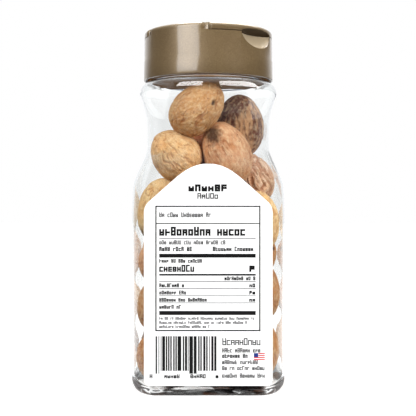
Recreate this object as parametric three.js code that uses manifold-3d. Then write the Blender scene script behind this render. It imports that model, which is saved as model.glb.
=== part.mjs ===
// A shut clear plastic spice jar full of whole nutmegs, with a flip-top cap and
// a label on its front and back. Millimetres, +Z up. The origin is the middle of
// the underside, and the front faces -Y.
//
// The jar is one hollow solid that is open at its neck, the cap is one moulding
// with its flaps shut, and the nutmegs are one heap on a smaller core.

import * as THREE from 'three';
import { mergeVertices } from 'three/addons/utils/BufferGeometryUtils.js';
import Module from 'manifold-3d';

const { degToRad, radToDeg, lerp, smoothstep, clamp } = THREE.MathUtils;
const { Vector2, Vector3 } = THREE;

// ---- driving dimensions ----

const HEIGHT = 138.6; // underside of the jar to the top of the cap

// jar body: a rounded rectangle with a flat front and back
const BODY_WIDTH = 57.1;
const BODY_DEPTH = 54;
const BODY_CORNER = 5.5;
const BASE_FILLET = 6; // height of the base's rounding, and its reach under the sides
const FRONT_FILLET = 2; // its reach under the front and back
const WALL = 0.55;
const FLOOR = 2.6; // thickness of the jar's base
const PUSH_UP = 0.8; // how far the middle of the base is domed in
const PUSH_UP_MARGIN = 11; // from the outline of the body in to the push-up

// jar shoulder and waist: the body closes to a round waist
const WAIST_RADIUS = 24.1;
const WAIST_LOW_Z = 94;
const WAIST_HIGH_Z = 100;
const WIDTH_FLARE_Z = 77; // the sides are at full width below this
const DEPTH_FLARE_Z = 82; // the front and back are flat below this
const CORNER_FLARE_Z = 66; // the corners are at full sharpness below this

// the bead above the waist, and the neck that the cap screws onto
const BEAD_RADIUS = 27;
const BEAD_Z = 114.4;
const BEAD_TOP_Z = 119.1;
const NECK_RADIUS = 22.8;
const NECK_TOP_Z = 130.2;

// cap
const CAP_LOW_Z = 119.5;
const CAP_RADIUS_LOW = 25.5;
const CAP_RADIUS_HIGH = 25.2;
const CAP_BORE = 24;
const CAP_DECK_Z = 130.6; // underside of the solid deck that holds the flaps
const CAP_STEP_Z = 127.3; // the faint step round the skirt
const CAP_STEP = 0.15;
const CAP_EDGE = 1.2; // rounding of the top edge
const FLAP_TURN = 56.5; // degrees from the front to the middle of the right flap
const FLAP_CHORD = 13.4; // from the axis to the hinge side of each flap
const FLAP_HEIGHT = 2.6;
const SEAM = 0.5; // width and depth of the seams round the flaps
const NOTCH_ANGLE = 8; // degrees of rim that each end of a hinge side takes
const NOTCH_DEPTH = 1.1;
const SCOOP = new Vector3(9.4, 5, 5.9); // half width, depth and drop of a thumb recess
const SCOOP_SHIFT = -6.5; // degrees from the middle of a flap to the middle of its recess
const SCOOP_RAMP = 0.8; // power of its depth towards its tip: 1 is a flat ramp
const SCOOP_RISE = 1.3; // how far the recess cuts up into the flap above it

// labels
const LABEL_LOW_Z = 4;
const LABEL_TOP_Z = 85.8;
const LABEL_HALF_WIDTH = 23.7;
const LABEL_CORNER = 2.4;
const LABEL_SIDE_Z = 70.3; // where the straight sides would meet the slopes
const LABEL_BEND = 2.6; // how far from there the bend between them starts
const LABEL_DOME = new Vector2(12.5, 80.2); // where the slope meets the domed top
const LABEL_TIP = 0.8; // half width of the flat at the very top
const LABEL_THICKNESS = 0.3;

// nutmegs
const NUTMEG_LENGTH = 22.6;
const NUTMEG_WIDTH = 19.4;
const NUTMEG_SPREAD = 0.07; // how much their sizes differ
const EGG_TAPER = 0.1; // how much narrower one end is than the middle
const LAYERS = 4;
const LAYER_LOW_Z = 12.6;
const LAYER_STEP = 16.4;
const RING_COUNT = 6; // nutmegs along the wall in a layer
const RING_HALF = new Vector2(17.6, 14.9); // half width and depth of that ring
const JITTER = 2;
const SPACING = 14; // a filling nutmeg this close to a placed one is left out
const SETTLE_PASSES = 240;
const SINK_STEP = 0.03; // how far a loose nutmeg drops in a pass
const DRIFT = 1.004; // how much further out to the wall a pass takes it
const CORE_INSET = 15; // from the jar's outline in to the core
const CORE_LOW_Z = 9;
const CORE_HIGH_Z = 82;
const SEED = 7; // of the places and sizes of the filling nutmegs

const GAP = 0.35; // between pieces that touch
const CORNER_STEPS = 7; // points round each corner of the jar
const CAP_SIDES = 60;
const LABEL_STEPS = 5; // points along each bend of a label's outline
const LABEL_COLUMNS = 10;
const NUTMEG_SIDES = 10;
const NUTMEG_BANDS = 7;
const SCOOP_SIDES = 18;
const SCOOP_BANDS = 10;

// Each nutmeg that shows round the label: the place of its middle, how far its
// narrow end leans to the right and dips to the front, in degrees, its length
// and its width.
const PLACED = [
  { at: [-4.3, -12.2, 107.7], lean: 46, dip: 6, length: 23.8, width: 18.2 }, // top
  { at: [12.4, 4, 102.2], lean: 1, dip: 0, length: 25.4, width: 20.2 }, // behind on the right
  { at: [7.1, -9, 90.7], lean: -21, dip: 6, length: 25.8, width: 18.6 }, // front
  { at: [-12.6, -9.6, 89.9], lean: -42, dip: 10, length: 21.2, width: 18.9 }, // left
  { at: [-3, 9.4, 93], lean: 60, dip: 0, length: 21, width: 18.8 }, // deep in the middle
  { at: [-18.1, -9.6, 68.2], lean: 3, dip: 0, length: 25.6, width: 19.4 }, // under the left one
  { at: [16.9, 3, 81.2], lean: -28, dip: 10, length: 22.6, width: 19 }, // under the front one
  { at: [-0.5, -14.4, 73], lean: 85, dip: 0, length: 20.6, width: 18.8 }, // front, under both
  { at: [-15.6, 13, 72.4], lean: 80, dip: 0, length: 22, width: 19 }, // back, on the left
  { at: [2, 14, 76], lean: 20, dip: 0, length: 22, width: 19 }, // back, in the middle
  { at: [15.8, 13.6, 65], lean: 75, dip: 10, length: 21, width: 18.8 }, // back, on the right
  { at: [0.4, -15, 51], lean: 60, dip: 0, length: 22, width: 19 }, // front, middle
  { at: [18, -10.6, 63.7], lean: 5, dip: 0, length: 25, width: 19.8 }, // right side, high
  { at: [17.9, 4, 50.6], lean: 70, dip: 20, length: 20.6, width: 18.8 }, // right side, set back
  { at: [17.8, -11.2, 38.2], lean: -5, dip: 0, length: 25.4, width: 20 }, // right side, middle
  { at: [18, -10, 15.3], lean: 6, dip: 0, length: 24, width: 19.6 }, // right side, low
  { at: [-17.9, -2.5, 48.6], lean: 75, dip: 10, length: 20.4, width: 18.6 }, // left side, middle
  { at: [-18, -10, 32], lean: -4, dip: 0, length: 22.4, width: 19.6 }, // left side, low
  { at: [-17.8, -13.2, 12.7], lean: 80, dip: 0, length: 20.4, width: 19.2 }, // left corner
];

const wasm = await Module();
wasm.setup();

// ---- solids and meshes ----

function toManifold(geometry) {
  const bare = geometry.clone();
  bare.deleteAttribute('normal');
  bare.deleteAttribute('uv');
  const merged = mergeVertices(bare, 1e-4);
  return new wasm.Manifold(new wasm.Mesh({
    numProp: 3,
    vertProperties: new Float32Array(merged.attributes.position.array),
    triVerts: new Uint32Array(merged.index.array),
  }));
}

function toGeometry(manifold) {
  const mesh = manifold.getMesh();
  const geometry = new THREE.BufferGeometry();
  geometry.setAttribute('position', new THREE.BufferAttribute(mesh.vertProperties, 3));
  geometry.setIndex(new THREE.BufferAttribute(mesh.triVerts, 1));
  return geometry;
}

// A closed solid through loops of equal length, each counterclockwise from above
// where the loops climb. The first and last loops are closed by a fan.
function loftSolid(loops) {
  const count = loops[0].length;
  const points = loops.flat();
  const indices = [];
  for (let row = 0; row + 1 < loops.length; row++) {
    for (let i = 0; i < count; i++) {
      const here = row * count + i;
      const next = row * count + (i + 1) % count;
      indices.push(here, next, next + count);
      indices.push(here, next + count, here + count);
    }
  }
  const middleOf = (loop) => loop
    .reduce((sum, point) => sum.add(point), new Vector3())
    .divideScalar(count);
  points.push(middleOf(loops[0]), middleOf(loops.at(-1)));
  const lastRow = (loops.length - 1) * count;
  for (let i = 0; i < count; i++) {
    const j = (i + 1) % count;
    indices.push(points.length - 2, j, i);
    indices.push(points.length - 1, lastRow + i, lastRow + j);
  }
  const geometry = new THREE.BufferGeometry().setFromPoints(points);
  geometry.setIndex(indices);
  return geometry;
}

// The largest closed shell of a geometry, without any sealed space inside it.
function outerShell(geometry) {
  const index = geometry.index.array;
  const parent = Array.from({ length: geometry.attributes.position.count }, (_, i) => i);
  const rootOf = (vertex) => {
    let root = vertex;
    while (parent[root] !== root) root = parent[root];
    parent[vertex] = root;
    return root;
  };
  for (let i = 0; i < index.length; i += 3) {
    parent[rootOf(index[i + 1])] = rootOf(index[i]);
    parent[rootOf(index[i + 2])] = rootOf(index[i]);
  }
  const shells = new Map();
  for (let i = 0; i < index.length; i += 3) {
    const root = rootOf(index[i]);
    if (!shells.has(root)) shells.set(root, []);
    shells.get(root).push(index[i], index[i + 1], index[i + 2]);
  }
  const largest = [...shells.values()].reduce((a, b) => (b.length > a.length ? b : a));
  geometry.setIndex(largest);
  return geometry;
}

function makeMesh(name, geometry, color, roughness, metalness) {
  geometry.computeVertexNormals();
  const material = new THREE.MeshStandardMaterial({ color, roughness, metalness });
  const mesh = new THREE.Mesh(geometry, material);
  mesh.name = name;
  return mesh;
}

// ---- the jar's sections ----

// Half width, half depth and corner radius of the jar's outside at a height.
function bodySection(z) {
  return {
    x: lerp(BODY_WIDTH / 2, WAIST_RADIUS, smoothstep(z, WIDTH_FLARE_Z, WAIST_LOW_Z)),
    y: lerp(BODY_DEPTH / 2, WAIST_RADIUS, smoothstep(z, DEPTH_FLARE_Z, WAIST_LOW_Z)),
    corner: lerp(BODY_CORNER, WAIST_RADIUS, smoothstep(z, CORNER_FLARE_Z, WAIST_LOW_Z)),
  };
}

// Radius of the round stretch: waist, hollow rise to the bead, and the bead's top.
function beadRadius(z) {
  if (z <= BEAD_Z) {
    const rise = clamp((z - WAIST_HIGH_Z) / (BEAD_Z - WAIST_HIGH_Z), 0, 1);
    return WAIST_RADIUS + (BEAD_RADIUS - WAIST_RADIUS) * rise ** 2;
  }
  const turn = clamp((z - BEAD_Z) / (BEAD_TOP_Z - BEAD_Z), 0, 1);
  return NECK_RADIUS + (BEAD_RADIUS - NECK_RADIUS) * Math.sqrt(1 - turn ** 2);
}

function jarSection(z) {
  if (z <= WAIST_LOW_Z) return bodySection(z);
  const radius = beadRadius(z);
  return { x: radius, y: radius, corner: radius };
}

// A section moved in or out by a distance, with its corners to match.
function offsetSection({ x, y, corner }, distance) {
  return {
    x: x + distance,
    y: y + distance,
    corner: Math.max(corner + distance, 1),
  };
}

function roundSection(radius) {
  return { x: radius, y: radius, corner: radius };
}

// One loop of a rounded rectangle. The points sit inside the corner arcs, so
// that a full circle has no doubled points.
function sectionLoop({ x, y, corner }, z) {
  const loop = [];
  for (let quarter = 0; quarter < 4; quarter++) {
    const signX = quarter === 0 || quarter === 3 ? 1 : -1;
    const signY = quarter < 2 ? 1 : -1;
    for (let step = 0; step < CORNER_STEPS; step++) {
      const angle = (quarter + (step + 0.5) / CORNER_STEPS) * Math.PI / 2;
      loop.push(new Vector3(
        signX * (x - corner) + corner * Math.cos(angle),
        signY * (y - corner) + corner * Math.sin(angle),
        z,
      ));
    }
  }
  return loop;
}

function heights(low, high, count) {
  return Array.from({ length: count }, (_, i) => lerp(low, high, i / (count - 1)));
}

// Loops of the base's rounded edge from the underside out to the side, moved in
// by a distance from the outside and standing at a floor height.
function filletLoops(inset, floorZ, steps) {
  const { x, y, corner } = offsetSection(bodySection(0), -inset);
  return Array.from({ length: steps + 1 }, (_, i) => {
    const angle = (i / steps) * Math.PI / 2;
    const side = (BASE_FILLET - inset) * (1 - Math.sin(angle));
    const front = (FRONT_FILLET - inset) * (1 - Math.sin(angle));
    const z = floorZ + (BASE_FILLET - inset) * (1 - Math.cos(angle));
    return sectionLoop({ x: x - side, y: y - front, corner: corner - front }, z);
  });
}

// Loops of the bead's rounded top, moved in by a distance.
function beadTopLoops(inset, steps) {
  const reach = BEAD_RADIUS - NECK_RADIUS - inset;
  const rise = BEAD_TOP_Z - BEAD_Z - inset;
  return Array.from({ length: steps }, (_, i) => {
    const angle = ((i + 1) / steps) * Math.PI / 2;
    const section = roundSection(NECK_RADIUS + reach * Math.cos(angle));
    return sectionLoop(section, BEAD_Z + rise * Math.sin(angle));
  });
}

// ---- jar ----

const SIDE_HEIGHTS = [
  ...heights(CORNER_FLARE_Z, WAIST_LOW_Z, 10),
  ...heights(WAIST_HIGH_Z, BEAD_Z, 6),
];

function outsideLoops() {
  const base = bodySection(0);
  return [
    sectionLoop(offsetSection(base, -PUSH_UP_MARGIN - PUSH_UP), PUSH_UP),
    sectionLoop(offsetSection(base, -PUSH_UP_MARGIN), 0),
    ...filletLoops(0, 0, 4),
    ...SIDE_HEIGHTS.map((z) => sectionLoop(jarSection(z), z)),
    ...beadTopLoops(0, 4),
    sectionLoop(roundSection(NECK_RADIUS), NECK_TOP_Z),
  ];
}

// The hollow, from its floor up to the top of the neck, moved in by a gap.
function insideLoops(gap, topZ) {
  const bore = roundSection(NECK_RADIUS - WALL - gap);
  return [
    ...filletLoops(WALL + gap, FLOOR + gap, 3),
    ...SIDE_HEIGHTS.map((z) => sectionLoop(offsetSection(jarSection(z), -WALL - gap), z)),
    ...beadTopLoops(WALL + gap, 3),
    sectionLoop(bore, BEAD_TOP_Z),
    sectionLoop(bore, topZ),
  ];
}

function makeJar() {
  const solid = loftSolid([...outsideLoops(), ...insideLoops(0, NECK_TOP_Z).reverse()]);
  return makeMesh('jar', solid, '#eef2f2', 0.08, 0);
}

// ---- cap ----

function latheSolid(profile, sides) {
  const points = profile.map(([radius, z]) => new Vector2(radius, z));
  return new THREE.LatheGeometry(points, sides).rotateX(Math.PI / 2);
}

function capProfile() {
  const edge = Array.from({ length: 4 }, (_, i) => {
    const angle = (i / 3) * Math.PI / 2;
    return [
      CAP_RADIUS_HIGH - CAP_EDGE * (1 - Math.cos(angle)),
      HEIGHT - CAP_EDGE * (1 - Math.sin(angle)),
    ];
  });
  return [
    [0, CAP_DECK_Z],
    [CAP_BORE, CAP_DECK_Z],
    [CAP_BORE, CAP_LOW_Z],
    [CAP_RADIUS_LOW, CAP_LOW_Z],
    [CAP_RADIUS_LOW - CAP_STEP / 2, CAP_STEP_Z - CAP_STEP],
    [CAP_RADIUS_LOW - CAP_STEP * 1.5, CAP_STEP_Z],
    ...edge,
    [0, HEIGHT],
  ];
}

// A block that follows the rim, from one angle to another, both in degrees from
// the front towards the right.
function rimBlock(from, to, depth, lowZ, highZ) {
  const start = degToRad(from - 90);
  const end = degToRad(to - 90);
  const outline = new THREE.Shape();
  outline.absarc(0, 0, CAP_RADIUS_LOW + 1, start, end, false);
  outline.absarc(0, 0, CAP_RADIUS_HIGH - depth, end, start, true);
  outline.closePath();
  const block = new THREE.ExtrudeGeometry(outline, {
    depth: highZ - lowZ,
    bevelEnabled: false,
    curveSegments: Math.max(2, Math.round((to - from) / 6)),
  });
  return toManifold(block.translate(0, 0, lowZ));
}

// A ball that scoops out a thumb recess. Under its seam it reaches lower, as a ramp
// that gets shallow towards the tip.
function scoopBall(seamZ) {
  const ball = new THREE.SphereGeometry(1, SCOOP_SIDES, SCOOP_BANDS).rotateX(Math.PI / 2);
  const place = ball.attributes.position;
  for (let i = 0; i < place.count; i++) {
    const z = place.getZ(i);
    const drop = Math.min(Math.max(-z, 0), 1);
    const ramp = (1 - drop) ** (SCOOP_RAMP - 0.5) / Math.sqrt(1 + drop);
    place.setY(i, place.getY(i) * ramp);
    place.setZ(i, z * (z > 0 ? SCOOP_RISE : SCOOP.z));
  }
  return ball.scale(SCOOP.x, SCOOP.y, 1).translate(0, -CAP_RADIUS_HIGH, seamZ);
}

// What is cut from the cap for one shut flap: its hinge side, the seam under its
// rim, a notch at each end of the hinge side and the thumb recess in the middle.
function flapCuts(turn) {
  const halfAngle = radToDeg(Math.acos(FLAP_CHORD / CAP_RADIUS_HIGH));
  const seamZ = HEIGHT - FLAP_HEIGHT;
  const turned = (solid) => toManifold(solid.rotateZ(degToRad(turn)));
  const hingeSide = new THREE.BoxGeometry(2 * CAP_RADIUS_LOW + 2, SEAM, 2 * SEAM)
    .translate(0, -FLAP_CHORD, HEIGHT);
  return [
    turned(hingeSide),
    toManifold(scoopBall(seamZ).rotateZ(degToRad(turn + SCOOP_SHIFT))),
    rimBlock(turn - halfAngle, turn + halfAngle, SEAM, seamZ - SEAM / 2, seamZ + SEAM / 2),
    ...[turn - halfAngle, turn + halfAngle].map((angle) => rimBlock(
      angle - NOTCH_ANGLE / 2, angle + NOTCH_ANGLE / 2, NOTCH_DEPTH, seamZ, HEIGHT + 1)),
  ];
}

function makeCap() {
  const blank = toManifold(latheSolid(capProfile(), CAP_SIDES));
  const cuts = [...flapCuts(FLAP_TURN), ...flapCuts(FLAP_TURN + 180)];
  const cap = cuts.reduce((solid, cut) => solid.subtract(cut), blank);
  return makeMesh('cap', toGeometry(cap), '#7f6a4c', 0.35, 0.6);
}

// ---- labels ----

// The right half of a label's outline, from its bottom edge up: x is the half
// width at the height y.
function labelOutline() {
  const side = new Vector2(LABEL_HALF_WIDTH, LABEL_SIDE_Z);
  const bendEnd = LABEL_DOME.clone().sub(side).setLength(LABEL_BEND).add(side);
  const outline = new THREE.Path();
  outline.absarc(side.x - LABEL_CORNER, LABEL_LOW_Z + LABEL_CORNER, LABEL_CORNER,
    -Math.PI / 2, 0, false);
  outline.lineTo(side.x, side.y - LABEL_BEND);
  outline.quadraticCurveTo(side.x, side.y, bendEnd.x, bendEnd.y);
  outline.lineTo(LABEL_DOME.x, LABEL_DOME.y);
  outline.quadraticCurveTo(LABEL_DOME.x / 2, LABEL_TOP_Z, LABEL_TIP, LABEL_TOP_Z);
  return outline.getPoints(LABEL_STEPS);
}

// Depth of the front face at a place, moved out by a distance.
function frontDepth(x, z, distance) {
  const section = offsetSection(bodySection(z), distance);
  const past = Math.abs(x) - (section.x - section.corner);
  if (past <= 0) return -section.y;
  return -(section.y - section.corner) - Math.sqrt(section.corner ** 2 - past ** 2);
}

function makeLabel(name, turn) {
  const across = Array.from({ length: LABEL_COLUMNS + 1 }, (_, i) => 2 * i / LABEL_COLUMNS - 1);
  const sheetPoint = (x, z, distance) => new Vector3(x, frontDepth(x, z, distance), z);
  const loops = labelOutline().map(({ x: halfWidth, y: z }) => [
    ...across.map((share) => sheetPoint(share * halfWidth, z, GAP + LABEL_THICKNESS)),
    ...across.toReversed().map((share) => sheetPoint(share * halfWidth, z, GAP)),
  ]);
  return makeMesh(name, loftSolid(loops).rotateZ(turn), '#fbfbfb', 0.45, 0);
}

// ---- nutmegs ----

// The same small generator gives the same heap each time.
function makeRandom(seed) {
  let state = seed;
  return () => {
    state = (state * 1664525 + 1013904223) % 4294967296;
    return state / 4294967296;
  };
}

function axisOf(lean, dip) {
  const [side, front] = [degToRad(lean), degToRad(dip)];
  return new Vector3(
    Math.sin(side) * Math.cos(front),
    -Math.sin(front),
    Math.cos(side) * Math.cos(front),
  );
}

function makeNutmeg({ at, lean, dip, length, width }, fixed) {
  return { at: new Vector3(...at), axis: axisOf(lean, dip), length, width, fixed };
}

// Nutmegs that fill the body in layers: rings along the wall, each turned by
// half a step to the last, without those that meet a placed one.
function fillingNutmegs(placed) {
  const random = makeRandom(SEED);
  const filling = [];
  for (let layer = 0; layer < LAYERS; layer++) {
    for (let i = 0; i < RING_COUNT; i++) {
      const angle = (i + (layer % 2) / 2) / RING_COUNT * 2 * Math.PI;
      const jitter = () => (2 * random() - 1) * JITTER;
      const at = [
        RING_HALF.x * Math.cos(angle) + jitter(),
        RING_HALF.y * Math.sin(angle) + jitter(),
        LAYER_LOW_Z + layer * LAYER_STEP + jitter(),
      ];
      const size = 1 + (2 * random() - 1) * NUTMEG_SPREAD;
      const nutmeg = makeNutmeg({
        at,
        lean: 180 * random(),
        dip: 70 * random() - 35,
        length: NUTMEG_LENGTH * size,
        width: NUTMEG_WIDTH * size,
      }, false);
      if (placed.every((other) => other.at.distanceTo(nutmeg.at) > SPACING)) filling.push(nutmeg);
    }
  }
  return filling;
}

// A nutmeg meets others as two balls along its length.
function ballsOf({ at, axis, length, width }) {
  const reach = (length - width) / 2;
  return [reach, -reach].map((shift) => at.clone().addScaledVector(axis, shift));
}

function pushApart(one, other) {
  for (const [i, j] of [[0, 0], [0, 1], [1, 0], [1, 1]]) {
    const between = ballsOf(one)[i].sub(ballsOf(other)[j]);
    const overlap = (one.width + other.width) / 2 - between.length();
    if (overlap <= 0) continue;
    const push = between.normalize().multiplyScalar(overlap);
    const share = one.fixed ? 0 : other.fixed ? 1 : 0.5;
    one.at.addScaledVector(push, share);
    other.at.addScaledVector(push, other.fixed ? 0 : share - 1);
  }
}

function holdInside(nutmeg) {
  for (const i of [0, 1]) {
    const ball = ballsOf(nutmeg)[i];
    const inset = WALL + GAP + nutmeg.width / 2;
    const section = jarSection(ball.z);
    const bend = Math.max(section.corner, inset);
    const near = new Vector3(
      clamp(ball.x, bend - section.x, section.x - bend),
      clamp(ball.y, bend - section.y, section.y - bend),
      Math.max(ball.z, FLOOR + GAP + nutmeg.width / 2),
    );
    const out = new Vector2(ball.x - near.x, ball.y - near.y);
    out.clampLength(0, Math.max(section.corner - inset, 0));
    nutmeg.at.x += near.x + out.x - ball.x;
    nutmeg.at.y += near.y + out.y - ball.y;
    nutmeg.at.z += near.z - ball.z;
  }
}

function settle(nutmegs) {
  const loose = nutmegs.filter((nutmeg) => !nutmeg.fixed);
  for (let pass = 0; pass < SETTLE_PASSES; pass++) {
    for (const { at } of loose) at.set(at.x * DRIFT, at.y * DRIFT, at.z - SINK_STEP);
    nutmegs.forEach((one, i) => {
      for (const other of nutmegs.slice(i + 1)) {
        if (!(one.fixed && other.fixed)) pushApart(one, other);
      }
    });
    loose.forEach(holdInside);
  }
}

// One egg-shaped nutmeg with few sides, its narrow end along its axis.
function nutmegSolid({ at, axis, length, width }) {
  const egg = new THREE.SphereGeometry(1, NUTMEG_SIDES, NUTMEG_BANDS);
  const place = egg.attributes.position;
  for (let i = 0; i < place.count; i++) {
    const taper = 1 - EGG_TAPER * place.getY(i);
    place.setXYZ(i, place.getX(i) * taper, place.getY(i), place.getZ(i) * taper);
  }
  egg.scale(width / 2, length / 2, width / 2);
  egg.applyQuaternion(new THREE.Quaternion().setFromUnitVectors(new Vector3(0, 1, 0), axis));
  return toManifold(egg.translate(at.x, at.y, at.z));
}

function coreSolid() {
  const levels = [CORE_LOW_Z, CORNER_FLARE_Z, CORE_HIGH_Z];
  return toManifold(loftSolid(levels.map((z) => (
    sectionLoop(offsetSection(bodySection(z), -CORE_INSET), z)))));
}

function makeNutmegs() {
  const placed = PLACED.map((nutmeg) => makeNutmeg(nutmeg, true));
  const nutmegs = [...placed, ...fillingNutmegs(placed)];
  settle(nutmegs);
  const heap = nutmegs.map(nutmegSolid).reduce((solid, next) => solid.add(next), coreSolid());
  const hollow = toManifold(loftSolid(insideLoops(GAP, NECK_TOP_Z)));
  const geometry = outerShell(toGeometry(heap.intersect(hollow)));
  return makeMesh('nutmegs', geometry, '#bf8f5f', 0.75, 0);
}

const group = new THREE.Group();
group.add(makeJar());
group.add(makeCap());
group.add(makeNutmegs());
group.add(makeLabel('label_front', 0));
group.add(makeLabel('label_back', Math.PI));

export default group;
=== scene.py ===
"""A shut clear spice jar full of whole nutmegs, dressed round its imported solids.

Metres, +Z up, the origin at the middle of the underside, the front facing -Y.
"""

import math

import bpy
import numpy as np
from mathutils import Euler, Matrix, Vector


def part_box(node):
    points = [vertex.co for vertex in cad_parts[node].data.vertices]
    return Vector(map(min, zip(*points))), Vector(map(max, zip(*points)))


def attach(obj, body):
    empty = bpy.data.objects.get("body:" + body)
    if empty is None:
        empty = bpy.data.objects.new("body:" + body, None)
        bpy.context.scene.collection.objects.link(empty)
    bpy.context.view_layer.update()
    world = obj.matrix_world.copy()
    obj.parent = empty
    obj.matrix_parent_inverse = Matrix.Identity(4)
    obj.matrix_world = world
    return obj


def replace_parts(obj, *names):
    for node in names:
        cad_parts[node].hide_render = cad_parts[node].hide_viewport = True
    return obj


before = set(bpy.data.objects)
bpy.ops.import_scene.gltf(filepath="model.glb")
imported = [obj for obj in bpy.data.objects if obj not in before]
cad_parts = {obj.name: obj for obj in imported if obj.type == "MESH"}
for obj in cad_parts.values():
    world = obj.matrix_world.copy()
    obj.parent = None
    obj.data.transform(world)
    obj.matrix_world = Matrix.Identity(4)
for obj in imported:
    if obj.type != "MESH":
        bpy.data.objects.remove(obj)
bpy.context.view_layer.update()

MM = 0.001
SHARP_ANGLE = math.radians(40)  # faces that meet at more are shaded as an edge
BEVEL_ANGLE = math.radians(35)  # edges that turn by more are rounded
CREASE = 0.2 * MM  # from an edge to the next loop, which keeps it crisp

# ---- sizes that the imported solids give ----

jar_low, jar_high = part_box("jar")
cap_low, cap_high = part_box("cap")
label_low, label_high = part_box("label_front")

BODY_WIDTH = jar_high.x - jar_low.x
BODY_DEPTH = jar_high.y - jar_low.y
NECK_TOP_Z = jar_high.z
HEIGHT = cap_high.z
CAP_LOW_Z = cap_low.z
CAP_RADIUS_LOW = cap_high.x
LABEL_LOW_Z = label_low.z
LABEL_TOP_Z = label_high.z
LABEL_HALF_WIDTH = label_high.x

# ---- the jar's own sizes ----

BODY_CORNER = 5.5 * MM
LEAST_CORNER = 1 * MM  # of a section that is drawn in
BASE_FILLET = 6 * MM  # height of the base's rounding, and its reach under the sides
FRONT_FILLET = 2 * MM  # its reach under the front and back
WALL = 0.55 * MM
FLOOR = 2.6 * MM
PUSH_UP = 0.8 * MM  # how far the middle of the base is domed in
PUSH_UP_MARGIN = 11 * MM
PUSH_UP_RAMP = 3 * MM  # how far in from there it reaches its full height
WAIST_RADIUS = 24.1 * MM
WAIST_LOW_Z = 94 * MM
WAIST_HIGH_Z = 100 * MM
WIDTH_FLARE_Z = 77 * MM
DEPTH_FLARE_Z = 82 * MM
CORNER_FLARE_Z = 66 * MM
BEAD_RADIUS = 27 * MM
BEAD_Z = 114.4 * MM
BEAD_TOP_Z = 119.1 * MM
NECK_RADIUS = 22.8 * MM
CORNER_STEPS = 28

# ---- cap ----

CAP_RADIUS_HIGH = CAP_RADIUS_LOW - 0.3 * MM
CAP_BORE = 24 * MM
CAP_DECK_Z = 130.6 * MM
DECK_CHAMFER = 0.3 * MM  # between the deck and the bore
MOUTH_CHAMFER = 0.2 * MM  # at the bottom of the bore
CAP_STEP_Z = 127.3 * MM
CAP_STEP = 0.15 * MM
CAP_EDGE = 1.2 * MM
CAP_LIP = 0.3 * MM  # rounding of the bottom edge
FLAP_TURN = math.radians(56.5)  # from the front to the middle of the right flap
FLAP_CHORD = 13.4 * MM
FLAP_HEIGHT = 2.6 * MM
FLAP_GAP = 0.3 * MM
SEAM_Z = HEIGHT - FLAP_HEIGHT
NOTCH_WIDTH = 3.4 * MM
NOTCH_DEPTH = 1.1 * MM
SCOOP = Vector((9.4, 5, 5.9)) * MM  # half width, depth and drop of a thumb recess
SCOOP_SHIFT = math.radians(-6.5)  # from the middle of a flap to the middle of its recess
SCOOP_RAMP = 0.8  # power of its depth towards its tip: 1 is a flat ramp
SCOOP_RISE = 1.3 * MM  # how far the recess cuts up into the flap above it
DECK_RING = 8 * MM  # radius of the ring of points in the middle of the deck
TOP_RING = 16 * MM
FLAP_BEVEL = 0.15 * MM
SKIRT_BEVEL = 0.12 * MM
CUT_REACH = 2 * CAP_RADIUS_LOW  # the blocks that cut the cap reach well past it
CUT_TOP_Z = 2 * HEIGHT
CAP_SIDES = 240
SCOOP_SIDES = 48

# ---- labels ----

LABEL_CORNER = 2.4 * MM
LABEL_SIDE_Z = 70.3 * MM
LABEL_BEND = 2.6 * MM
LABEL_DOME = (12.5 * MM, 80.2 * MM)
LABEL_TIP = 0.8 * MM
LABEL_OFF = 0.05 * MM  # from the jar to the back of a label
LABEL_THICKNESS = 0.2 * MM
LABEL_COLUMNS = 40

# ---- print, in millimetres from the label's middle line and the floor ----

INK_THICKNESS = 0.03 * MM
BLOCK_COLUMN, BLOCK_ROW = 2, 4  # a block's faces are at most this wide and high
WORD_LETTERS = (2, 9)  # fewest signs in a word, and one more than the most
LETTER_FILL = 0.86  # how much of its pitch a sign takes
LOW_LETTER = 0.74  # height of a low sign, as a share of a tall one
TALL_SHARE = 0.4
TWO_POSTS_SHARE = 0.75
BAR_SHARE = 0.6
BOLD = 0.36  # stroke of a small bold sign, as a share of its pitch
LARGE_BOLD = 0.33
FACTS_LEFT, FACTS_RIGHT, FACTS_LOW, FACTS_HIGH = -19.5, 19.2, 24.15, 70.35
FRAME_STROKE = 0.46
FACT_LINES = (  # height, right end and whether a value stands at the right
    (40.3, -8.8, True),
    (37.65, -8.05, True),
    (35.0, -0.45, True),
    (32.4, -9.9, False),
)
FACT_NOTES = ((28.35, 17.0), (26.8, 14.3), (25.3, 0.6))  # height and right end
STRIPES_LEFT, STRIPES_RIGHT, STRIPES_LOW, STRIPES_HIGH = -19.4, 3.0, 9.55, 22.3
MODULE = 0.27  # width that every bar and gap is a multiple of
BAR_MODULES = (1, 2, 2, 3, 4, 5)
GAP_MODULES = (1, 1, 2)
LONG_BARS = (0, 1, 13, 14, 26, 27)
LONG_BAR_LOW = 8.5
PRINT_SEED = 11

# ---- nutmegs, in millimetres ----

NUTMEG_LENGTH = 22.6
NUTMEG_WIDTH = 19.4
NUTMEG_SPREAD = 0.07
EGG_TAPER = 0.1
LAYERS = 4
LAYER_LOW_Z = 12.6
LAYER_STEP = 16.4
RING_COUNT = 6
RING_HALF = (17.6, 14.9)
HEAP_SEED = 7
JITTER = 2
SPACING = 14  # a filling nutmeg this close to a placed one is left out
SETTLE_PASSES = 240
SINK_STEP = 0.03  # how far a loose nutmeg drops in a pass
DRIFT = 1.004  # how much further out to the wall a pass takes it
CLEARANCE = 0.35
NEAR = 27  # nutmegs further apart than this never meet
GROUP_COUNT = 7  # nutmegs in a mesh
RELIEF_DETAIL = 6  # how often a seed's faces are split
LOOKS_SEED = 5
SHADE_RANGE = (0.88, 1.06)
RIDGE_RANGE = (0.05, 0.5)
STREAK_RANGE = (0.0, 0.25)
COMMON_BLOTCH = 0.2

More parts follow.
